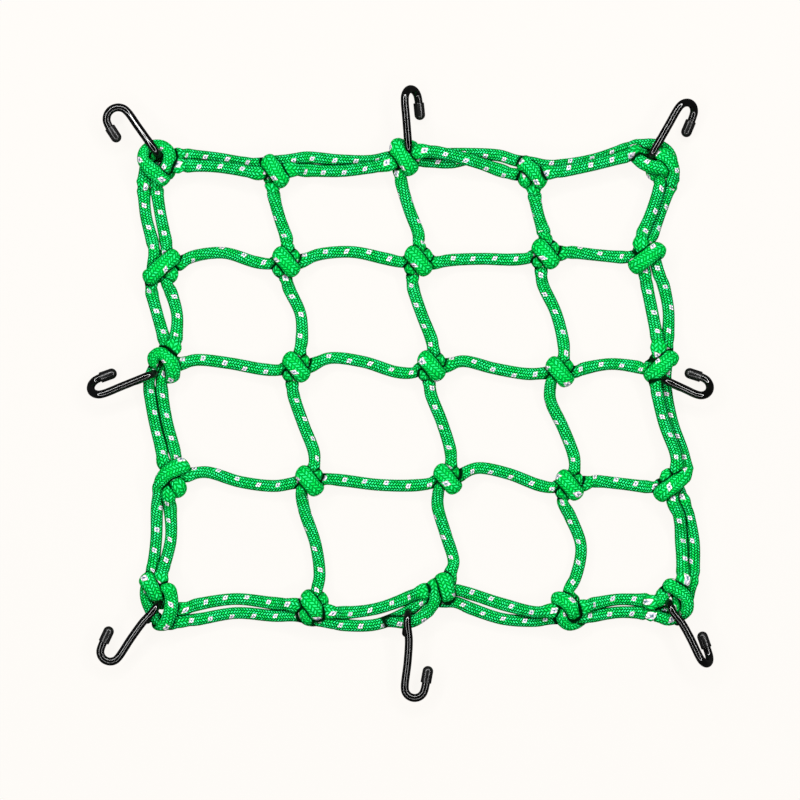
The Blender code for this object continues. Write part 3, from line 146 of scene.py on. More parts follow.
# the wide band over an inner knot and its way back under it
KNOT_BAND = (
    (0.66, -0.74, 1.2, 1.2), (0.48, -0.62, 1.62, 1.36), (0.02, -0.02, 1.8, 1.42),
    (-0.44, 0.56, 1.62, 1.36), (-0.62, 0.7, 1.15, 1.2), (-0.4, 0.62, 0.55), (0.2, 0.5, 0.42),
    (0.66, 0.5, 0.62, 1.1), (0.78, 0.46, 1.1, 1.15), (0.38, 0.08, 1.38),
)
TURNS = {
    # the cord that runs down ties the knot round the one that runs across
    "tied_down": turns(
        (0.3, 0.8, 1.05), (0.34, 0.1, 0.95), (0.5, -0.42, 0.9), *KNOT_BAND, (-0.3, -0.34, 1.42),
        (-0.62, -0.68, 1.25, 1.05)),
    "passed_across": turns((-0.75, -0.05, 1.05), (0.1, 0.0, 1.0), (0.8, 0.02, 1.0)),
    # the cord that runs across ties the knot round the one that runs down
    "tied_across": turns(
        (-0.75, -0.02, 1.1), (0.0, -0.25, 1.0), (0.46, -0.48, 0.95), *KNOT_BAND, (-0.32, -0.34, 1.45, 1.05),
        (-0.64, -0.62, 1.2, 1.15), (-0.62, -0.8, 0.7, 1.1), (-0.2, -0.58, 0.42), (0.4, -0.3, 0.45),
        (0.85, -0.02, 0.8)),
    "passed_down": turns((0.32, 0.8, 1.05), (0.05, 0.0, 1.0), (-0.36, -0.85, 0.95)),
    # rim, top: the cord's end wraps the two rim cords and then runs down
    "top_2": turns(
        (0.15, 0.1, 1.3, 0.95), (-0.3, -0.22, 1.4, 0.95), (-0.5, -0.5, 1.15), (-0.45, -0.7, 0.6),
        (0.05, -0.65, 0.42), (0.6, -0.85, 0.6), (0.8, -0.92, 1.1, 1.15), (0.66, -0.78, 1.6, 1.32),
        (0.12, -0.04, 1.8, 1.41), (-0.42, 0.6, 1.6, 1.37), (-0.54, 0.78, 1.1, 1.2), (-0.35, 0.6, 0.5),
        (-0.1, -0.1, 0.45), (-0.12, -0.85, 0.75)),
    "top_3": turns(
        (0.15, 0.1, 1.3, 0.95), (-0.4, -0.45, 1.42, 0.95), (-0.58, -0.8, 1.1), (-0.45, -0.9, 0.6),
        (0.05, -0.95, 0.42), (0.48, -1.15, 0.6), (0.6, -1.28, 1.1, 1.15), (0.44, -0.98, 1.62, 1.32),
        (-0.1, -0.2, 1.82, 1.41), (-0.62, 0.5, 1.68, 1.32), (-0.76, 0.66, 1.3, 1.2), (-0.36, 0.78, 1.0),
        (0.4, 0.74, 0.9), (0.9, 0.62, 0.7), (0.4, 0.0, 0.45), (-0.3, -0.95, 0.8)),
    "top_4": turns(
        (0.15, 0.2, 1.3, 0.95), (-0.35, -0.1, 1.42), (-0.6, -0.46, 1.25, 1.27), (-0.5, -0.82, 0.75, 1.2),
        (0.05, -0.65, 0.42), (0.65, -0.8, 0.6), (0.88, -0.8, 1.1), (0.74, -0.56, 1.6, 1.27),
        (0.1, 0.16, 1.8, 1.32), (-0.52, 0.68, 1.55, 1.2), (-0.7, 0.86, 1.1), (-0.4, 0.7, 0.5),
        (0.05, -0.1, 0.45), (0.15, -0.85, 0.75)),
    # rim, bottom: the cord comes down and its end wraps the two rim cords
    "bottom_2": turns(
        (0.38, 0.8, 1.1), (0.35, 0.1, 0.9), (0.45, -0.35, 0.8), (0.56, -0.66, 1.15, 1.15),
        (0.46, -0.48, 1.6, 1.32), (0.04, 0.14, 1.82, 1.42), (-0.36, 0.66, 1.6, 1.39),
        (-0.52, 0.8, 1.1, 1.2), (-0.3, 0.8, 0.5), (0.45, 0.75, 0.48), (0.94, 0.68, 0.95, 1.15),
        (0.5, 0.3, 1.35, 0.95), (-0.25, 0.02, 1.42), (-0.68, -0.48, 1.38, 1.32), (-0.46, -1.02, 1.15, 1.32),
        (0.12, -1.12, 0.75, 1.2), (0.6, -0.85, 0.6)),
    "bottom_3": turns(
        (0.82, 0.8, 0.9), (0.66, 0.1, 0.5), (0.2, 0.55, 0.42), (0.16, 1.02, 0.85), (0.34, 1.0, 1.5, 1.25),
        (0.5, 0.38, 1.78, 1.35), (0.62, -0.2, 1.66, 1.29), (0.62, -0.66, 1.15, 1.2), (0.35, -0.5, 0.6)),
    "bottom_4": turns(
        (0.25, 0.8, 1.1), (0.3, 0.1, 0.9), (0.45, -0.35, 0.8), (0.66, -0.54, 1.15, 1.15),
        (0.56, -0.2, 1.6, 1.32), (-0.02, 0.52, 1.8, 1.39), (-0.62, 0.82, 1.55, 1.32),
        (-0.92, 0.68, 1.1, 1.2), (-0.45, 0.62, 0.5), (0.35, 0.65, 0.48), (0.74, 0.52, 0.95),
        (0.4, 0.25, 1.35, 0.95), (-0.3, 0.05, 1.4), (-0.58, -0.45, 1.4, 1.25), (-0.38, -1.08, 1.25, 1.27),
        (0.12, -1.42, 1.0, 1.25), (0.72, -1.38, 0.8), (1.2, -1.05, 0.6)),
    # rim, left: the cord's end wraps the two rim cords and then runs to the right
    "left_2": turns(
        (-0.2, 0.05, 1.4, 0.95), (0.4, -0.22, 1.45), (0.92, -0.42, 1.15, 1.2), (0.8, -0.72, 0.6),
        (-0.2, -0.7, 0.42), (-0.92, -0.86, 0.6), (-1.14, -0.9, 1.05, 1.15), (-0.96, -0.74, 1.55, 1.32),
        (-0.02, 0.1, 1.8, 1.42), (0.86, 0.84, 1.55, 1.32), (1.08, 1.0, 1.05, 1.2), (0.75, 0.7, 0.55),
        (0.95, 0.25, 0.75)),
    "left_3": turns(
        (-0.4, -0.1, 0.9), (-0.78, 0.05, 1.15, 1.15), (-0.78, 0.45, 1.5, 1.25), (-0.4, 0.82, 1.72, 1.32),
        (0.22, 0.66, 1.85, 1.41), (0.74, 0.02, 1.85, 1.41), (0.92, -0.7, 1.6, 1.32),
        (0.8, -1.25, 1.05, 1.2), (0.45, -1.15, 0.5), (0.05, -0.5, 0.42), (0.55, 0.0, 0.5), (1.0, 0.0, 0.8)),
    "left_4": turns(
        (-0.4, 0.3, 1.3, 0.95), (0.05, -0.25, 1.45), (0.52, -0.68, 1.5, 1.25), (0.72, -1.12, 1.0, 1.15),
        (0.35, -1.05, 0.55), (-0.2, -0.2, 0.42), (0.3, 0.25, 0.55), (0.95, 0.12, 0.85)),
    "left_4_rim": turns(
        (0.6, 0.5, 0.6), (1.0, 1.06, 1.0, 1.15), (0.88, 1.1, 1.55, 1.27), (0.3, 0.84, 1.78, 1.39),
        (-0.4, 0.42, 1.78, 1.37), (-0.88, -0.14, 1.55, 1.25), (-1.12, -0.75, 1.15)),
    # the rim cord from above ends inside this knot
    "left_4_under": turns((0.2, -0.2, 0.55), (-0.32, 0.55, 0.75)),
    # rim, right: the cord comes from the left and its end wraps the two rim cords
    "right_2": turns(
        (-0.75, 0.2, 1.1), (0.3, 0.15, 0.95), (0.9, 0.5, 0.8), (0.98, 0.92, 1.1, 1.15),
        (0.8, 0.76, 1.55, 1.32), (-0.08, 0.06, 1.8, 1.42), (-0.9, -0.56, 1.58, 1.32),
        (-1.1, -0.68, 1.05, 1.15), (-0.75, -0.4, 0.5), (0.1, 0.4, 0.42), (-0.6, 0.8, 0.6),
        (-0.82, 0.66, 1.05), (-0.3, 0.35, 1.3, 0.95)),
    "right_3": turns(
        (-0.75, 0.05, 1.1), (0.2, 0.0, 0.95), (0.66, 0.25, 0.8), (0.78, 0.6, 1.1, 1.15),
        (0.6, 0.4, 1.58, 1.32), (-0.14, -0.34, 1.8, 1.42), (-0.84, -1.02, 1.6, 1.32),
        (-1.02, -1.22, 1.05, 1.15), (-0.7, -0.85, 0.5), (0.1, 0.1, 0.42), (-0.45, 0.42, 0.6),
        (-0.74, 0.16, 1.1), (-0.3, -0.1, 1.3, 0.95)),
    "right_4": turns(
        (-0.8, 0.05, 1.05), (0.4, 0.1, 0.65), (0.6, 0.45, 0.5), (0.4, 0.8, 0.7), (-0.05, 0.9, 1.25, 1.05),
        (-0.48, 0.62, 1.4, 1.05), (-0.72, 0.28, 1.0), (-0.45, 0.1, 0.9)),
    "right_4_rim": turns(
        (1.26, 1.0, 1.35), (0.96, 0.72, 1.66, 1.25), (0.1, 0.08, 1.8, 1.42), (-0.84, -0.62, 1.62, 1.35),
        (-1.08, -0.84, 1.1, 1.2), (-0.75, -0.55, 0.55)),
    # the rim cord from below ends inside this knot
    "right_4_under": turns((0.72, -0.75, 0.75), (0.45, 0.0, 0.55)),
    # corners: rim cords that go round, and the loop that each hook hangs in
    "corner_tl_outer": turns((-0.95, -0.3, 0.95), (-0.35, 0.6, 0.95), (0.85, 0.5, 0.9)),
    "corner_tl_inner": turns((0.05, -1.15, 0.85), (0.75, -0.55, 0.85)),
    "corner_tl_loop": turns(
        (0.25, -1.2, 0.6), (0.58, -1.6, 1.05, 1.05), (0.36, -1.4, 1.6, 1.2), (-0.14, -1.0, 1.85, 1.26),
        (-0.72, -0.48, 1.88, 1.26), (-1.16, 0.16, 1.72, 1.2), (-1.04, 0.88, 1.45, 1.1),
        (-0.38, 1.34, 1.3, 1.05), (0.44, 1.36, 1.35, 1.1), (1.02, 0.9, 1.5, 1.25), (1.12, 0.1, 1.55, 1.3),
        (0.78, -0.6, 1.4, 1.1), (0.2, -0.9, 1.1)),
    "corner_tl_tuck": turns(
        (-0.15, 0.15, 0.5), (0.6, -0.3, 0.6), (1.08, -0.72, 0.85), (1.0, -1.12, 0.75), (0.5, -1.1, 0.6)),
    "corner_tr_outer": turns(
        (-0.6, 1.35, 1.0), (0.3, 1.2, 1.05), (1.0, 0.62, 1.05), (1.3, -0.2, 0.9), (1.05, -1.0, 0.7)),
    "corner_tr_rim": turns(
        (-0.15, 0.55, 1.1), (0.45, 0.48, 1.75, 1.05), (1.08, -0.1, 1.85, 1.1), (1.42, -0.85, 1.5, 1.05)),
    "corner_tr_inner": turns((-1.0, 0.45, 0.85), (0.0, 0.1, 0.6), (0.35, -0.7, 0.75), (0.22, -1.3, 0.9)),
    "corner_tr_loop": turns(
        (-1.2, 0.85, 0.85), (-1.8, 0.8, 1.1), (-1.92, 0.42, 1.5, 1.1), (-1.55, -0.1, 1.75, 1.2),
        (-0.92, -0.5, 1.85, 1.22), (-0.15, -0.68, 1.8, 1.2), (0.5, -0.6, 1.5, 1.1), (0.55, -0.95, 0.9),
        (0.0, -1.25, 0.6, 1.05), (-0.45, -1.22, 0.8, 1.05), (-0.52, -0.85, 1.1)),
    "corner_bl_outer": turns(
        (-1.24, 0.88, 0.95), (-1.14, 0.0, 0.95, 1.1), (-0.66, -1.08, 1.0, 1.1), (0.04, -1.98, 0.95, 1.1),
        (0.95, -2.05, 0.85)),
    "corner_bl_inner": turns((0.95, -0.55, 0.8), (0.58, 0.2, 0.75), (0.12, 1.1, 0.95)),
    "corner_bl_band": turns(
        (-0.6, 1.3, 0.6), (-1.16, 1.88, 1.0, 1.05), (-1.08, 1.72, 1.5, 1.2), (-0.76, 1.25, 1.72, 1.28),
        (-0.34, 0.55, 1.6, 1.22), (-0.05, 0.15, 1.1), (0.22, -0.4, 0.6)),
    "corner_bl_loop": turns(
        (0.1, 0.6, 0.85), (0.44, 1.02, 1.35, 1.05), (0.82, 0.96, 1.65, 1.2), (1.04, 0.3, 1.8, 1.24),
        (1.02, -0.55, 1.8, 1.24), (0.8, -1.4, 1.65, 1.2), (0.44, -2.12, 1.3, 1.15),
        (0.02, -2.12, 0.75, 1.1), (-0.35, -1.45, 0.6)),
    "corner_br_outer": turns(
        (-1.35, -1.08, 0.8), (-0.85, -1.36, 0.95, 1.15), (-0.35, -1.5, 1.05, 1.2), (0.35, -1.3, 1.05, 1.15),
        (0.98, -0.75, 0.95, 1.05), (1.34, 0.3, 0.9)),
    "corner_br_inner": turns((-0.05, 1.3, 0.8), (-0.66, 0.84, 1.1, 1.25), (-1.2, 0.15, 1.12, 1.25)),
    "corner_br_end": turns((0.6, 1.2, 0.6), (0.4, 0.45, 0.45)),
    "corner_br_loop": turns(
        (-0.2, 1.05, 0.6), (-0.42, 1.36, 1.1, 1.1), (-0.12, 1.46, 1.55, 1.2), (0.52, 1.06, 1.8, 1.24),
        (1.08, 0.54, 1.8, 1.24), (1.31, -0.06, 1.68, 1.2), (1.22, -0.7, 1.4, 1.1), (0.86, -1.1, 0.95, 1.05),
        (0.2, -0.95, 0.6)),
    "corner_br_tuck": turns(
        (-1.35, -0.55, 0.7), (-0.7, -0.8, 0.62, 1.1), (0.05, -0.85, 0.62, 1.1), (0.6, -0.7, 0.9, 1.1),
        (0.66, -0.15, 1.15), (0.45, 0.4, 1.0)),
    # the loose loop beside the lower middle knot, and the tail beside the upper middle one
    "loop_5_3": turns(
        (-0.2, 0.2, 0.5), (-0.62, 0.45, 0.95, 1.1), (-0.6, 0.38, 1.45, 1.15), (-0.5, -0.1, 1.62, 1.15),
        (-0.42, -0.62, 1.6, 1.1), (-0.56, -1.2, 1.5, 1.05), (-1.05, -1.78, 1.3), (-1.7, -2.36, 1.25),
        (-2.46, -2.74, 1.2), (-3.3, -2.82, 1.0), (-3.95, -2.74, 0.78), (-4.6, -2.72, 0.6)),
    "tail_1_3": turns(
        (0.4, -0.25, 0.9), (1.05, -0.48, 0.85), (1.85, -0.52, 0.62), (3.1, -0.64, 0.53), (4.2, -0.66, 0.53),
        (5.2, -0.42, 0.53)),
}

# ---- routes of the cords
# A route is a walk over the net: "turn" follows a row of TURNS at a knot, and the other words
# follow the span that starts at a knot, forward (right, down) or backward (left, up).
Step = namedtuple("Step", "way row column name")
TIED_DOWN = {(3, 4), (4, 2), (4, 3)}


def cord_down(column):
    """One cord that runs down the net and is tied into both rims."""
    route = [Step("turn", 1, column, f"top_{column}")]
    for row in range(1, LAST):
        route.append(Step("down", row, column, "net"))
        if row + 1 < LAST:
            name = "tied_down" if (row + 1, column) in TIED_DOWN else "passed_down"
            route.append(Step("turn", row + 1, column, name))
    route.append(Step("turn", LAST, column, f"bottom_{column}"))
    return route


def cord_across(row):
    """One cord that runs across the net and is tied into both rims."""
    route = [Step("turn", row, 1, f"left_{row}")]
    for column in range(1, LAST):
        route.append(Step("right", row, column, "net"))
        if column + 1 < LAST:
            name = "passed_across" if (row, column + 1) in TIED_DOWN else "tied_across"
            route.append(Step("turn", row, column + 1, name))
    route.append(Step("turn", row, LAST, f"right_{row}"))
    return route


def knot_turn(row, column, name):
    return [Step("turn", row, column, name)]


def spans(way, rows, columns, name):
    return [Step(way, row, column, name) for row in rows for column in columns]


def rim_routes():
    """The doubled cord round the edge, and the loops at its corners."""
    forth, back = range(1, LAST), range(LAST - 1, 0, -1)
    left_top = knot_turn(4, 1, "left_4_under") + spans("up", (3, 2, 1), (1,), "outer")
    top = spans("right", (1,), forth, "outer")
    right_top = spans("down", (1, 2, 3), (LAST,), "outer")
    bottom = spans("right", (LAST,), forth, "outer")
    inner = knot_turn(LAST, LAST, "corner_br_inner") + spans("left", (LAST,), back, "inner")
    inner += knot_turn(LAST, 1, "corner_bl_inner") + spans("up", back, (1,), "inner")
    inner += knot_turn(1, 1, "corner_tl_inner") + spans("right", (1,), forth, "inner")
    inner += knot_turn(1, LAST, "corner_tr_inner") + spans("down", forth, (LAST,), "inner")
    inner += knot_turn(LAST, LAST, "corner_br_end")
    alone = (
        (1, 1, "corner_tl_loop"), (1, 1, "corner_tl_tuck"), (1, LAST, "corner_tr_loop"),
        (LAST, 1, "corner_bl_band"), (LAST, 1, "corner_bl_loop"), (LAST, LAST, "corner_br_loop"),
        (LAST, LAST, "corner_br_tuck"), (LAST, 3, "loop_5_3"), (1, 3, "tail_1_3"),
    )
    return [
        left_top + knot_turn(1, 1, "corner_tl_outer") + top + knot_turn(1, LAST, "corner_tr_outer"),
        knot_turn(1, LAST, "corner_tr_rim") + right_top + knot_turn(4, LAST, "right_4_rim"),
        knot_turn(4, 1, "left_4_rim") + spans("down", (4,), (1,), "outer")
        + knot_turn(LAST, 1, "corner_bl_outer") + bottom + knot_turn(LAST, LAST, "corner_br_outer")
        + spans("up", (4,), (LAST,), "outer") + knot_turn(4, LAST, "right_4_under"),
        inner,
        *(knot_turn(*turn) for turn in alone),
    ]


ROUTES = [cord_down(column) for column in (2, 3, 4)] + [cord_across(row) for row in (2, 3, 4)] + rim_routes()

Stop = namedtuple("Stop", "point swell inside")


def reach(row, column):
    return CORNER_REACH if (row, column) in CORNERS else KNOT_REACH


def span_stops(row, column, name, across):
    """The stops along one span, from its first knot to its second."""
    table = ACROSS if across else DOWN
    sway = next(item for item in table if item[:3] == (name, row, column))
    far = (row, column + 1) if across else (row + 1, column)
    first, last = PLACE[row, column], PLACE[far]
    chord = last - first
    aside = Vector((0, 1, 0)) if across else Vector((1, 0, 0))
    places = (reach(row, column) / chord.length, *SPAN_STATIONS, 1 - reach(*far) / chord.length)
    stops = []
    for place, offset, height, lift in zip(places, sway[3:], SPAN_HEIGHTS, span_lift(sway, table)):
        point = first + chord * place + aside * offset
        point.z = CORD * height + lift
        stops.append(Stop(point, 1.0, False))
    return stops


def span_lift(sway, table):
    """The inner rim cord rides up on the outer one where the two lie closer than a diameter."""
    if sway.cord != "inner":
        return (0.0,) * 5
    other = next(item for item in table if item[:3] == ("outer", sway.row, sway.column))
    gaps = [one - two for one, two in zip(sway[3:], other[3:])]
    return [math.sqrt(max(0.0, CORD ** 2 - gap ** 2)) for gap in gaps]


def turn_stops(row, column, name):
    centre = PLACE[row, column]
    stops = []
    for turn in TURNS[name]:
        away = Vector((TURN_UNIT * turn.right, TURN_UNIT * turn.up, CORD * turn.height))
        stops.append(Stop(centre + away, turn.swell, True))
    return stops


def walk(route):
    """All stops of a route. Two spans that meet pass straight through the knot between them."""
    stops = []
    was_span = False
    for step in route:
        if step.way == "turn":
            new = turn_stops(step.row, step.column, step.name)
        else:
            new = span_stops(step.row, step.column, step.name, step.way in ("right", "left"))
            if step.way in ("left", "up"):
                new.reverse()
            if was_span:
                middle = (stops[-1].point + new[0].point) / 2
                middle.z = CORD * THROUGH_HEIGHT
                stops.append(Stop(middle, 1.0, True))
        stops += new
        was_span = step.way != "turn"
    return stops


def mix(one, two, start, end, where):
    return one + (two - one) * ((where - start) / (end - start))


def curve_point(quad, share):
    """The point at a share of the middle stretch of a centripetal Catmull-Rom curve."""
    one, two, three, four = quad
    second = math.sqrt((two - one).length)
    third = second + math.sqrt((three - two).length)
    fourth = third + math.sqrt((four - three).length)
    where = second + (third - second) * share
    near = mix(one, two, 0.0, second, where)
    middle = mix(two, three, second, third, where)
    far = mix(three, four, third, fourth, where)
    near = mix(near, middle, 0.0, third, where)
    far = mix(middle, far, second, fourth, where)
    return mix(near, far, second, third, where)


def smooth(stops, knot_step, span_step):
    """Points and swells along a smooth curve through the stops."""
    points = [stop.point for stop in stops]
    padded = [2 * points[0] - points[1]] + points + [2 * points[-1] - points[-2]]
    result = [(points[0], stops[0].swell)]
    for index, (first, last) in enumerate(zip(stops, stops[1:])):
        step = knot_step if first.inside or last.inside else span_step
        count = max(1, round((last.point - first.point).length / step))
        for part in range(1, count + 1):
            share = part / count
            swell = first.swell + (last.swell - first.swell) * share
            result.append((curve_point(padded[index:index + 4], share), swell))
    return result


# ---- hooks
# Where a hook's wire goes into its knot, which way it points (degrees, anticlockwise from +X), how
# far it reaches from there, the radius of its bend, how long the leg after the bend is, on which
# side of the shank that leg lies when looking outward (1 left, -1 right), how far the bend is rolled
# about the shank, how far the leg opens away from it (degrees), how far the bend and the middle of
# the shank lie to the leg's side of the straight line out of the knot, and how far the knot holds
# the bend above the surface.
Hook = namedtuple("Hook", "name x y heading reach bend leg side roll open shift bow rise")
HOOKS = (
    Hook("top_left", -125.7, 124.2, 125.6, 34.0, 6.1, 10.1, 1, 0.0, 2.5, 0.0, 0.0, 5.0),
    Hook("top_middle", 4.7, 124.8, 94.5, 34.0, 5.9, 10.6, -1, 53.0, 2.0, 0.0, 0.0, 0.0),
    Hook("top_right", 130.2, 123.2, 60.2, 35.1, 5.9, 11.6, -1, 40.5, 9.5, 0.0, 0.0, 0.0),
    Hook("left_middle", -127.9, 10.8, 201.9, 34.1, 5.9, 9.5, -1, 43.7, -3.3, 0.0, 0.0, 0.0),
    Hook("right_middle", 136.3, 8.0, 335.5, 25.3, 5.6, 9.4, 1, 32.0, -7.6, 0.0, 0.0, 2.0),
    Hook("bottom_left", -125.6, -108.6, 236.6, 40.7, 5.2, 11.9, -1, 0.0, 8.5, 1.9, 0.8, 5.0),
    Hook("bottom_middle", 4.3, -113.8, 263.8, 44.1, 5.2, 12.6, 1, 0.0, 4.1, 2.4, 1.2, 5.0),
    Hook("bottom_right", 140.0, -108.8, 295.1, 37.2, 5.6, 11.8, 1, 61.0, 11.3, 2.4, 1.0, 0.0),
)
EYE_RADIUS = 5.5            # of the eye's middle line, round one cord
EYE_CENTRE_HEIGHT = 7.7
EYE_TURN = (0, 270)         # the eye runs from its free end, under the cord and up to the shank
EYE_STEP = 30
BEND_PARTS = 6
SHANK_STATIONS = ((0.25, 1.0, 0.2), (0.6, 0.85, 0.1))   # share of the shank, of its bow, mm of lift
TIP_RADIUS = 2.8
TIP_LENGTH = 9.0
TIP_WALL = 1.4              # at the tip's closed end
FLOOR_GAP = 0.1


def hook_path(hook):
    """The wire's middle line, from the eye's free end to the end inside the tip, the tip's far end
    and the way the leg points, mm."""
    angle = math.radians(hook.heading)
    out = Vector((math.cos(angle), math.sin(angle), 0))
    up = Vector((0, 0, 1))
    beside = Vector((-out.y, out.x, 0)) * hook.side
    roll = math.radians(hook.roll)
    spread = math.radians(hook.open)
    across = beside * math.cos(roll) - up * math.sin(roll)
    entry = Vector((hook.x, hook.y, 0)) + SHIFT
    eye = entry + out * EYE_RADIUS + up * EYE_CENTRE_HEIGHT
    path = []
    for degrees in range(EYE_TURN[0], EYE_TURN[1] + 1, EYE_STEP):
        turn = math.radians(-degrees)
        path.append(eye + EYE_RADIUS * (math.cos(turn) * out + math.sin(turn) * up))
    width = hook.bend * (1 + math.cos(spread)) + max(0.0, hook.leg * math.sin(spread))
    shank_height = TIP_RADIUS + FLOOR_GAP + hook.rise + width * math.sin(roll)
    bend = entry + out * (hook.reach - hook.bend) + beside * hook.shift + up * shank_height
    start = path[-1]
    for share, bow, lift in SHANK_STATIONS:
        path.append(start.lerp(bend, share) + beside * hook.bow * bow + up * lift)
    centre = bend + across * hook.bend
    for part in range(BEND_PARTS + 1):
        turn = (math.pi - spread) * part / BEND_PARTS - math.pi / 2
        path.append(centre + hook.bend * (math.cos(turn) * out + math.sin(turn) * across))
    back = across * math.sin(spread) - out * math.cos(spread)
    leg_end = path[-1] + back * hook.leg
    path.append(leg_end - back * (TIP_WALL + WIRE_GAP))
    return path, leg_end, back


# ---- how finely the looks are made
CORD_STEP = 0.9             # ring spacing along a cord
KNOT_STEP = 0.6             # the same inside a knot
CORD_SIDES = 24
WIRE_STEP = 0.8
WIRE_RING = 24
TIP_RING = 40
UPRIGHT_TURN = 3.0          # degrees a mm that a cord may twist to keep the same side up
STEEP = 0.85                # a cord steeper than this doesn't twist
MAP_ROWS = 6                # rows in which a cord's length is laid out for its second map
BEND_REACH = 3              # rings on each side over which a bend is read
TIGHT_BEND = 4.5            # mm: a bend of this radius presses the cord as flat as it gets
PRESS_WIDER = 0.42
PRESS_FLATTER = 0.12
MAP_INSET = (0.01, 0.98)    # where a cord's length starts on its second map, and how much it fills
ROW_INSET = (0.04, 0.92)    # the same for its girth within a row of that map
CAP_SPOT = (0.002, 0.002)   # where the small faces at its two ends lie on it
END_START = 0.35            # where the first extra ring of a rounded end stands, in steps
END_DEPTH = 0.6             # of a rounded end, in radii
SWELL_UP = 0.45             # how much of a squeezed cord's extra width it also has in height


def frames_along(points):
    """Tangent and upper side at each point: carried along, and turned slowly back upward."""
    tangents = []
    for index in range(len(points)):
        before = points[max(0, index - 1)]
        after = points[min(len(points) - 1, index + 1)]
        tangents.append((after - before).normalized())
    up = Vector((0, 0, 1))
    first = tangents[0]
    normal = (up - first * up.dot(first)).normalized()
    result = [(first, normal)]
    for index in range(1, len(points)):
        tangent = tangents[index]
        normal = result[-1][0].rotation_difference(tangent) @ normal
        normal = (normal - tangent * normal.dot(tangent)).normalized()
        if abs(tangent.z) < STEEP:
            wanted = (up - tangent * up.dot(tangent)).normalized()
            turn = math.atan2(normal.cross(wanted).dot(tangent), normal.dot(wanted))
            limit = math.radians(UPRIGHT_TURN) * (points[index] - points[index - 1]).length
            normal = Quaternion(tangent, max(-limit, min(limit, turn))) @ normal
        result.append((tangent, normal))
    return result


def rounded_ends(path, radius, end_steps):
    """The path with extra rings that close each end as half a ball."""
    first, last = path[0], path[-1]
    into = (path[1][0] - first[0]).normalized()
    out = (last[0] - path[-2][0]).normalized()
    head, tail = [], []
    for step in range(end_steps):
        turn = math.pi / 2 * (step + END_START) / end_steps
        size = math.sin(turn)
        reach_out = radius * math.cos(turn) * END_DEPTH
        head.append((first[0] - into * reach_out, first[1] * size))
        tail.insert(0, (last[0] + out * reach_out, last[1] * size))
    return head + path + tail


def bends_along(points):
    """Which way a path bends at each point, and how sharply: a tight bend has length 1."""
    count = len(points)
    raw = []
    for index in range(count):
        before = points[max(0, index - BEND_REACH)]
        after = points[min(count - 1, index + BEND_REACH)]
        point = points[index]
        first = point - before
        second = after - point
        span = (first.length + second.length) / 2
        if min(first.length, second.length) < 0.01:
            raw.append(Vector((0, 0, 0)))
        else:
            raw.append((second.normalized() - first.normalized()) / span)
    result = []
    for index in range(count):
        near = raw[max(0, index - BEND_REACH):index + BEND_REACH + 1]
        bend = sum(near, Vector((0, 0, 0))) / len(near) * TIGHT_BEND
        result.append(bend / max(1.0, bend.length))
    return result


def new_item(name, data):
    item = bpy.data.objects.new(name, data)
    bpy.context.scene.collection.objects.link(item)
    return item


def sweep(name, path, diameter, sides, pressed=False):
    """A round bar along (point, swell) in mm, with its length and girth as a map.

    A pressed one is wider and flatter where it bends round something."""
    points = [point for point, _ in path]
    frames = frames_along(points)
    bends = bends_along(points)
    shape = bmesh.new()
    rings = []
    pressure = []
    run = [0.0]
    for one, two in zip(points, points[1:]):
        run.append(run[-1] + (two - one).length)
    for (point, swell), (tangent, normal), bend in zip(path, frames, bends):
        side = tangent.cross(normal)
        flat = bend - tangent * bend.dot(tangent)
        share = flat.length if pressed else 0.0
        wide = swell if swell < 1.0 else max(swell, 1.0 + PRESS_WIDER * share)
        thick = swell if swell < 1.0 else (1.0 + (swell - 1.0) * SWELL_UP) * (1.0 - PRESS_FLATTER * share)
        press = flat.normalized() if share > 0.01 else normal
        if not pressed:
            thick = wide = swell
        pressure += [min(1.0, max(0.0, (wide - 1.0) / PRESS_WIDER))] * sides
        ring = []
        for number in range(sides):
            turn = 2 * math.pi * number / sides
            away = normal * math.cos(turn) + side * math.sin(turn)
            away = away * wide + press * away.dot(press) * (thick - wide)
            place = point - away * diameter / 2
            place.z = max(place.z, 0.0)
            ring.append(shape.verts.new(place * MM))
        rings.append(ring)
    along = shape.loops.layers.uv.new("cord_run")
    laid = shape.loops.layers.uv.new("OFBake")
    total = run[-1]
    for index in range(len(rings) - 1):
        for number in range(sides):
            after = (number + 1) % sides
            corners = (rings[index][number], rings[index][after],
                       rings[index + 1][after], rings[index + 1][number])
            face = shape.faces.new(corners)
            face.smooth = True
            around = (number / sides, (number + 1) / sides, (number + 1) / sides, number / sides)
            lengths = (run[index], run[index], run[index + 1], run[index + 1])
            row = min(MAP_ROWS - 1, int(MAP_ROWS * (run[index] + run[index + 1]) / 2 / total))
            for loop, turn, length in zip(face.loops, around, lengths):
                loop[along].uv = (turn, length * MM)
                across = length / total * MAP_ROWS - row
                up_row = row + ROW_INSET[0] + ROW_INSET[1] * turn
                loop[laid].uv = (MAP_INSET[0] + MAP_INSET[1] * across, up_row / MAP_ROWS)
    for ring, length, flip in ((rings[0], 0.0, True), (rings[-1], total, False)):
        face = shape.faces.new(ring[::-1] if flip else ring)
        for loop in face.loops:
            loop[along].uv = (0.5, length * MM)
            loop[laid].uv = CAP_SPOT
    bmesh.ops.recalc_face_normals(shape, faces=shape.faces)
    data = bpy.data.meshes.new(name)
    shape.to_mesh(data)
    shape.free()
    if pressed:
        layer = data.attributes.new("pressed", "FLOAT", "POINT")
        layer.data.foreach_set("value", pressure)
    return new_item(name, data)


# ---- where cords press together: painted shade in the creases between them
APART = 10.0                # mm along one cord within which it doesn't touch itself
NEAR = 9.5                  # mm between two middle lines that may touch
CREASE_SHADE_WIDTH = 2.0          # mm of gap over which the painted crease shade fades out
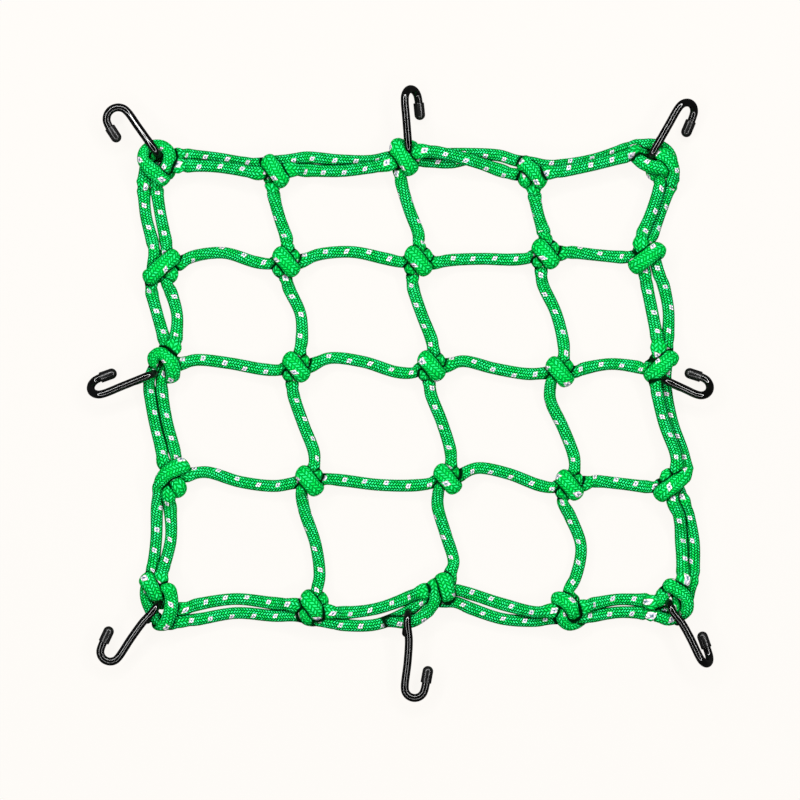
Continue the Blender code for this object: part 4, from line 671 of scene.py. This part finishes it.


def paint_crease_shade(items, paths):
    """A value at each point of a cord for its painted crease shade: 1 where it meets another cord's surface,
    0 away from it.
    """
    spots = []
    for number, path in enumerate(paths):
        run = 0.0
        for index, (point, swell) in enumerate(path):
            if index:
                run += (point - path[index - 1][0]).length
            spots.append((point, swell, number, run))
    lookup = KDTree(len(spots))
    for index, spot in enumerate(spots):
        lookup.insert(spot[0], index)
    lookup.balance()
    places = np.array([spot[0] for spot in spots])
    radii = np.array([spot[1] for spot in spots]) * CORD / 2
    start = 0
    for number, (item, path) in enumerate(zip(items, paths)):
        corners = np.empty(len(item.data.vertices) * 3)
        item.data.vertices.foreach_get("co", corners)
        corners = corners.reshape(-1, 3) / MM
        values = np.zeros(len(corners))
        for index in range(len(path)):
            point, _, _, run = spots[start + index]
            near = [found for _, found, _ in lookup.find_range(point, NEAR)
                    if spots[found][2] != number or abs(spots[found][3] - run) > APART]
            if not near:
                continue
            ring = slice(index * CORD_SIDES, (index + 1) * CORD_SIDES)
            gaps = np.linalg.norm(corners[ring, None, :] - places[None, near, :], axis=2) - radii[None, near]
            values[ring] = 1.0 - np.clip(gaps.min(axis=1) / CREASE_SHADE_WIDTH, 0.0, 1.0)
        start += len(path)
        layer = item.data.attributes.new("crease_shade", "FLOAT", "POINT")
        layer.data.foreach_set("value", values.astype(np.float32))


# ---- node helpers
class Tree:
    """Short ways to add and link shader nodes."""

    def __init__(self, name):
        self.material = bpy.data.materials.new(name)
        self.material.use_nodes = True
        self.nodes = self.material.node_tree.nodes
        self.links = self.material.node_tree.links
        self.shader = self.nodes["Principled BSDF"]

    def put(self, socket, value):
        if isinstance(value, (int, float, tuple, list)):
            socket.default_value = value
        else:
            self.links.new(value, socket)

    def give(self, name, value):
        self.put(self.shader.inputs[name], value)

    def new(self, kind, *values):
        """A new node, with each value set or linked at the input of the same number."""
        node = self.nodes.new("ShaderNode" + kind)
        for socket, value in zip(node.inputs, values):
            self.put(socket, value)
        return node

    def where(self):
        return self.new("TexCoord").outputs["Object"]

    def attribute(self, name):
        node = self.new("Attribute")
        node.attribute_name = name
        return node.outputs["Fac"]

    def math(self, kind, one, two=0.0, three=0.0):
        node = self.new("Math", one, two, three)
        node.operation = kind
        return node.outputs[0]

    def add(self, one, two):
        return self.math("ADD", one, two)

    def sub(self, one, two):
        return self.math("SUBTRACT", one, two)

    def mul(self, one, two):
        return self.math("MULTIPLY", one, two)

    def ramp(self, value, low, high, to_low=0.0, to_high=1.0):
        node = self.new("MapRange", value, low, high, to_low, to_high)
        node.interpolation_type = "SMOOTHSTEP"
        return node.outputs[0]

    def mix(self, share, one, two):
        node = self.new("Mix")
        node.data_type = "RGBA"
        self.put(node.inputs[0], share)
        self.put(node.inputs[6], one)
        self.put(node.inputs[7], two)
        return node.outputs[2]

    def join(self, x, y, z=0.0):
        return self.new("CombineXYZ", x, y, z).outputs[0]

    def noise(self, vector, scale, detail=2.0, roughness=0.5):
        node = self.new("TexNoise", vector)
        node.inputs["Scale"].default_value = scale
        node.inputs["Detail"].default_value = detail
        node.inputs["Roughness"].default_value = roughness
        return node.outputs["Fac"]

    def hash(self, vector):
        node = self.new("TexWhiteNoise", vector)
        node.noise_dimensions = "3D"
        return node.outputs["Value"]

    def bump(self, height, distance, strength=1.0, under=None):
        node = self.new("Bump")
        node.inputs["Strength"].default_value = strength
        node.inputs["Distance"].default_value = distance
        self.put(node.inputs["Height"], height)
        if under is not None:
            self.put(node.inputs["Normal"], under)
        return node.outputs["Normal"]


# ---- the cord's braid
BRAID_COLUMNS = 12          # rows of stitches round the cord
BRAID_PITCH = 1.45          # mm from one stitch to the next along the cord
BRAID_SLANT = 0.8           # how far a stitch leans over its own width, in pitches
BRAID_DRIFT = 0.8           # mm over which uneven tension shifts the stitches along the cord
RIDGE = (0.12, 0.42)        # from a stitch's middle line to where its ridge has fallen off, in pitches
RIDGE_END = (0.24, 0.48)    # the same towards its two ends, in widths
FLECK_SPACING = 11.4        # mm from one white fleck to the next in the same row of flecks
FLECK_ROWS = (0.5, 0.0)     # where the rows of flecks lie, as shares of the girth
FLECK_HALF = 1.05           # mm from a fleck's middle to its sides
FLECK_LEAN = 0.35           # how far a fleck leans along the cord
FLECK_SOFT = 0.2            # mm over which its edge fades
FLECK_DOT = (0.35, 0.75)    # mm over which the dark dot in its middle fades out
FLECK_JITTER = 0.12         # of a spacing
FLECK_WANDER = 6.0          # rows of stitches that a row of flecks strays over

# painted shade in the low parts between the stitches
GREEN_GAP_SHADE = (0.0, 0.055, 0.006, 1.0)
GREEN_CLOSED_GAP_SHADE = (0.0, 0.24, 0.024, 1.0)   # painted shade between stitches that are pressed together, lighter than in open gaps
GREEN = (0.0, 0.58, 0.058, 1.0)
# painted highlight on the tops of the stitches
GREEN_HIGHLIGHT = (0.03, 0.90, 0.30, 1.0)
# painted shade in the creases where cords press together
CREASE_SHADE = (0.0, 0.010, 0.002, 1.0)
WHITE = (0.90, 0.78, 0.88, 1.0)
FLECK_GREY = (0.07, 0.16, 0.18, 1.0)


def stitch_cells(tree, around, length):
    """Which stitch of the braid a point lies in, and where in it."""
    columns = tree.mul(around, BRAID_COLUMNS)
    column = tree.math("FLOOR", columns)
    aside = tree.sub(tree.sub(columns, column), 0.5)
    odd = tree.math("MODULO", column, 2.0)
    lean = tree.mul(tree.sub(tree.mul(odd, 2.0), 1.0), BRAID_SLANT)
    phase = tree.add(tree.math("DIVIDE", length, BRAID_PITCH), tree.mul(aside, lean))
    phase = tree.add(phase, tree.mul(odd, 0.5))
    stitch = tree.math("FLOOR", phase)
    along = tree.sub(tree.sub(phase, stitch), 0.5)
    return column, aside, stitch, along


def fleck_masks(tree, columns, length, where):
    """Small white squares in a row on each side of the cord, and the dark dot in each."""
    wander = tree.mul(tree.sub(tree.noise(where, 28.0, 1.0), 0.5), FLECK_WANDER)
    square, dot = 0.0, 0.0
    for number, row in enumerate(FLECK_ROWS):
        steps = tree.add(tree.math("DIVIDE", length, FLECK_SPACING), 0.5 * number)
        cell = tree.math("FLOOR", steps)
        jitter = tree.sub(tree.hash(tree.join(cell, 7.0 + number, 1.0)), 0.5)
        centre = tree.add(0.5, tree.mul(jitter, FLECK_JITTER))
        away = tree.mul(tree.sub(tree.sub(steps, cell), centre), FLECK_SPACING)
        beside = tree.sub(columns, tree.add(row * BRAID_COLUMNS, wander))
        turns_off = tree.math("ROUND", tree.math("DIVIDE", beside, BRAID_COLUMNS))
        beside = tree.sub(beside, tree.mul(turns_off, BRAID_COLUMNS))
        beside = tree.mul(beside, math.pi * CORD / BRAID_COLUMNS)
        away = tree.math("ABSOLUTE", tree.add(away, tree.mul(beside, FLECK_LEAN)))
        beside = tree.math("ABSOLUTE", beside)
        edge = tree.math("MAXIMUM", away, beside)
        white = tree.ramp(edge, FLECK_HALF, FLECK_HALF + FLECK_SOFT, 1.0, 0.0)
        square = tree.math("MAXIMUM", white, square)
        inside = tree.add(away, beside)
        dot = tree.math("MAXIMUM", tree.ramp(inside, *FLECK_DOT, 1.0, 0.0), dot)
    return square, dot


def cord_material():
    tree = Tree("braided_cord")
    run = tree.new("UVMap")
    run.uv_map = "cord_run"
    split = tree.new("SeparateXYZ", run.outputs["UV"])
    around = split.outputs[0]
    length = tree.mul(split.outputs[1], 1000.0)
    where = tree.where()
    # uneven tension: the stitches drift a little along the cord
    drift = tree.mul(tree.sub(tree.noise(where, 90.0), 0.5), BRAID_DRIFT)
    column, aside, stitch, along = stitch_cells(tree, around, tree.add(length, drift))
    # a stitch is a rounded ridge, high along its middle and low at its ends
    ridge = tree.ramp(tree.math("ABSOLUTE", along), *RIDGE, 1.0, 0.0)
    ends = tree.ramp(tree.math("ABSOLUTE", aside), *RIDGE_END, 1.0, 0.0)
    height = tree.mul(ridge, ends)
    own = tree.hash(tree.join(column, stitch, 3.0))
    pressure = tree.attribute("pressed")
    # painted highlight along the tops of the stitches, uneven from stitch to stitch and weaker where the
    # cord is pressed
    painted_highlight = tree.mul(tree.ramp(height, 0.35, 0.95), tree.ramp(own, 0.1, 0.9, 0.15, 0.95))
    painted_highlight = tree.mul(painted_highlight, tree.sub(1.0, tree.mul(pressure, 0.45)))
    dim = tree.ramp(tree.hash(tree.join(column, stitch, 5.0)), 0.0, 0.5, 0.75, 1.0)
    # painted shade: the braid is darker low between its stitches, and less so where pressing closes the gaps
    gap = tree.mix(pressure, GREEN_GAP_SHADE, GREEN_CLOSED_GAP_SHADE)
    colour = tree.mix(tree.mul(tree.ramp(height, 0.08, 0.6), dim), gap, GREEN)
    colour = tree.mix(painted_highlight, colour, GREEN_HIGHLIGHT)
    square, dot = fleck_masks(tree, tree.mul(around, BRAID_COLUMNS), length, where)
    # painted shade in grey over a fleck's low parts, between its stitches
    thread = tree.mix(tree.ramp(height, 0.0, 0.35, 0.35, 1.0), FLECK_GREY, WHITE)
    thread = tree.mix(dot, thread, FLECK_GREY)
    colour = tree.mix(square, colour, thread)
    # painted shade: where cords press together the braid is darkened, a little near them and nearly black
    # where they touch
    crease_shade = tree.attribute("crease_shade")
    near = tree.mul(tree.ramp(crease_shade, 0.05, 0.8), 0.45)
    shade_touching = tree.ramp(crease_shade, 0.45, 0.88)
    colour = tree.mix(tree.math("MAXIMUM", near, shade_touching), colour, CREASE_SHADE)
    tree.give("Base Color", colour)
    tree.give("Roughness", tree.add(0.66, tree.mul(own, 0.2)))
    tree.give("Specular IOR Level", 0.01)
    fibres = tree.noise(tree.join(tree.mul(around, 400.0), tree.mul(length, 1.6), 0.0), 1.0, 2.0)
    coarse = tree.bump(height, 0.0005, 1.0)
    tree.give("Normal", tree.bump(fibres, 0.00005, 0.5, coarse))
    return tree.material


def grey(value):
    return (value, value, value, 1.0)


def wire_material():
    """Black coating on the wire: glossy, a little uneven, and duller where it has rubbed."""
    tree = Tree("coated_wire")
    where = tree.where()
    cloud = tree.noise(where, 60.0, 4.0)
    rubbed = tree.ramp(tree.noise(where, 240.0, 5.0, 0.6), 0.55, 0.8)
    colour = tree.mix(tree.ramp(cloud, 0.35, 0.7), grey(0.001), grey(0.003))
    colour = tree.mix(tree.mul(rubbed, 0.3), colour, grey(0.008))
    tree.give("Base Color", colour)
    tree.give("Roughness", tree.add(0.05, tree.mul(rubbed, 0.05)))
    tree.give("IOR", 1.5)
    tree.give("Normal", tree.bump(tree.noise(where, 300.0, 2.0), 0.00001, 0.1))
    return tree.material


def tip_material():
    """Moulded black plastic: satin, with a fine grain."""
    tree = Tree("tip_plastic")
    where = tree.where()
    cloud = tree.noise(where, 130.0, 4.0)
    colour = tree.mix(tree.ramp(cloud, 0.3, 0.75), grey(0.003), grey(0.007))
    tree.give("Base Color", colour)
    tree.give("Roughness", tree.add(0.2, tree.mul(cloud, 0.1)))
    tree.give("Specular IOR Level", 0.4)
    tree.give("Normal", tree.bump(tree.noise(where, 1500.0, 2.0), 0.00005, 0.5))
    return tree.material


# ---- the pieces
END_RINGS = 4


def make_cords(material):
    items = []
    paths = []
    for number, route in enumerate(ROUTES):
        path = smooth(walk(route), KNOT_STEP, CORD_STEP)
        path = rounded_ends(path, CORD / 2, END_RINGS)
        item = sweep(f"cord_{number + 1}", path, CORD, CORD_SIDES, pressed=True)
        item.data.materials.append(material)
        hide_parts("net")
        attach(item, "root")
        items.append(item)
        paths.append(path)
    paint_crease_shade(items, paths)


def make_wire(hook, material):
    path, _, _ = hook_path(hook)
    stops = [Stop(point, 1.0, True) for point in path]
    item = sweep(f"wire_{hook.name}", smooth(stops, WIRE_STEP, WIRE_STEP), WIRE, WIRE_RING)
    item.data.materials.append(material)
    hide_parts(f"hook_{hook.name}")
    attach(item, "root")


ROUNDING = 0.35             # of the rim at a tip's open end
SHARP = 50                  # degrees from which an edge of a tip is left sharp


def make_cap(hook, material):
    """A rounded cap over the wire's end: a turned profile, from its closed end to its bore."""
    _, leg_end, back = hook_path(hook)
    bore = WIRE / 2 + WIRE_GAP
    profile = [(TIP_RADIUS * math.sin(turn), -TIP_RADIUS * (1 - math.cos(turn)))
               for turn in (math.radians(degrees) for degrees in range(0, 91, 9))]
    for degrees in range(0, 91, 30):
        turn = math.radians(degrees)
        profile.append((TIP_RADIUS - ROUNDING * (1 - math.cos(turn)),
                        -TIP_LENGTH + ROUNDING * (1 - math.sin(turn))))
    profile += [(bore, -TIP_LENGTH), (bore, -TIP_WALL), (0.0, -TIP_WALL)]
    shape = bmesh.new()
    turn_out = back.to_track_quat("Z", "Y").to_matrix()
    rings = []
    for radius, height in profile:
        count = 1 if radius < 0.001 else TIP_RING
        ring = []
        for number in range(count):
            turn = 2 * math.pi * number / count
            place = turn_out @ Vector((radius * math.cos(turn), radius * math.sin(turn), height))
            ring.append(shape.verts.new((place + leg_end) * MM))
        rings.append(ring)
    for one, two in zip(rings, rings[1:]):
        for number in range(TIP_RING):
            after = (number + 1) % TIP_RING
            corners = [one[number % len(one)], one[after % len(one)],
                       two[after % len(two)], two[number % len(two)]]
            corners = list(dict.fromkeys(corners))
            shape.faces.new(corners).smooth = True
    bmesh.ops.recalc_face_normals(shape, faces=shape.faces)
    data = bpy.data.meshes.new(f"cap_{hook.name}")
    shape.to_mesh(data)
    shape.free()
    data.set_sharp_from_angle(angle=math.radians(SHARP))
    item = new_item(f"cap_{hook.name}", data)
    item.data.materials.append(material)
    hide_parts(f"tip_{hook.name}")
    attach(item, "root")


# ---- floor, light and camera
FRAME_SIDE = 0.4176         # m across the picture
FRAME_Y = -0.00353          # of the picture's middle
CAMERA_HEIGHT = 3.2         # m above the height at which the picture is true to size
TRUE_HEIGHT = 0.004
CAMERA_FAR = 20.0
SENSOR = 36.0
FLOOR_SIZE = 6.0
FLOOR_DROP = 0.0002         # m below the net
FLOOR_GLOW = 0.93           # the floor's own glow, which only the camera sees
PAPER_DARK = (0.030, 0.0292, 0.0282, 1.0)
PAPER_LIGHT = (0.031, 0.0302, 0.0291, 1.0)
PAPER_GLOW = (1.0, 0.974, 0.939, 1.0)


def make_floor():
    """A pale floor that glows, but only as the camera sees it. So it puts no light on the net, and
    the net's shadow hardly shows on it."""
    bpy.ops.mesh.primitive_plane_add(size=FLOOR_SIZE, location=(0, 0, -FLOOR_DROP))
    floor = bpy.context.object
    floor.name = "floor"
    tree = Tree("floor_paper")
    where = tree.where()
    cloud = tree.noise(where, 3.0)
    tree.give("Base Color", tree.mix(cloud, PAPER_DARK, PAPER_LIGHT))
    tree.give("Roughness", 0.9)
    tree.give("Specular IOR Level", 0.0)
    tree.give("Emission Color", PAPER_GLOW)
    seen = tree.new("LightPath").outputs["Is Camera Ray"]
    tree.give("Emission Strength", tree.mul(seen, FLOOR_GLOW))
    floor.data.materials.append(tree.material)


RING_LAMPS = 12
RING_RADIUS = 0.86          # m: the lamps stand in a ring round the camera's line of sight
RING_HEIGHT = 1.0
RING_DEPTH = 0.08           # m across the ring
RING_POWER = 4.2            # W each
RING_UNEVEN = 0.5           # share by which those beyond the upper rim are brighter, and the lower dimmer
SKY = 0.04
SKY_COLOUR = (1.0, 0.99, 0.97, 1.0)


def make_light():
    """A ring of lamps, which puts a pair of bright lines on every wire whichever way it lies."""
    world = bpy.data.worlds.new("studio")
    world.use_nodes = True
    background = world.node_tree.nodes["Background"]
    background.inputs["Color"].default_value = SKY_COLOUR
    background.inputs["Strength"].default_value = SKY
    bpy.context.scene.world = world
    for number in range(RING_LAMPS):
        turn = 2 * math.pi * number / RING_LAMPS
        data = bpy.data.lights.new(f"ring_{number}", "AREA")
        data.shape = "RECTANGLE"
        data.size = 2 * math.pi * RING_RADIUS / RING_LAMPS
        data.size_y = RING_DEPTH
        data.energy = RING_POWER * (1 + RING_UNEVEN * math.sin(turn))
        lamp = new_item(f"ring_{number}", data)
        out = Vector((math.cos(turn), math.sin(turn), 0))
        place = out * RING_RADIUS + Vector((0, 0, RING_HEIGHT))
        back = place.normalized()
        along = Vector((0, 0, 1)).cross(out)
        lamp.matrix_world = Matrix((along, back.cross(along), back)).transposed().to_4x4()
        lamp.location = place
        lamp.visible_camera = False


def make_camera():
    data = bpy.data.cameras.new("camera")
    data.sensor_width = SENSOR
    data.sensor_fit = "HORIZONTAL"
    data.lens = SENSOR * CAMERA_HEIGHT / FRAME_SIDE
    data.clip_end = CAMERA_FAR
    item = new_item("camera", data)
    item.location = (0.0, FRAME_Y, CAMERA_HEIGHT + TRUE_HEIGHT)
    item.rotation_euler = (0.0, 0.0, 0.0)
    bpy.context.scene.camera = item


cord = cord_material()
wire = wire_material()
plastic = tip_material()
make_cords(cord)
for hook in HOOKS:
    make_wire(hook, wire)
    make_cap(hook, plastic)
make_floor()
make_light()
make_camera()
bpy.context.scene.view_settings.view_transform = "Standard"
bpy.context.scene.view_settings.look = "None"
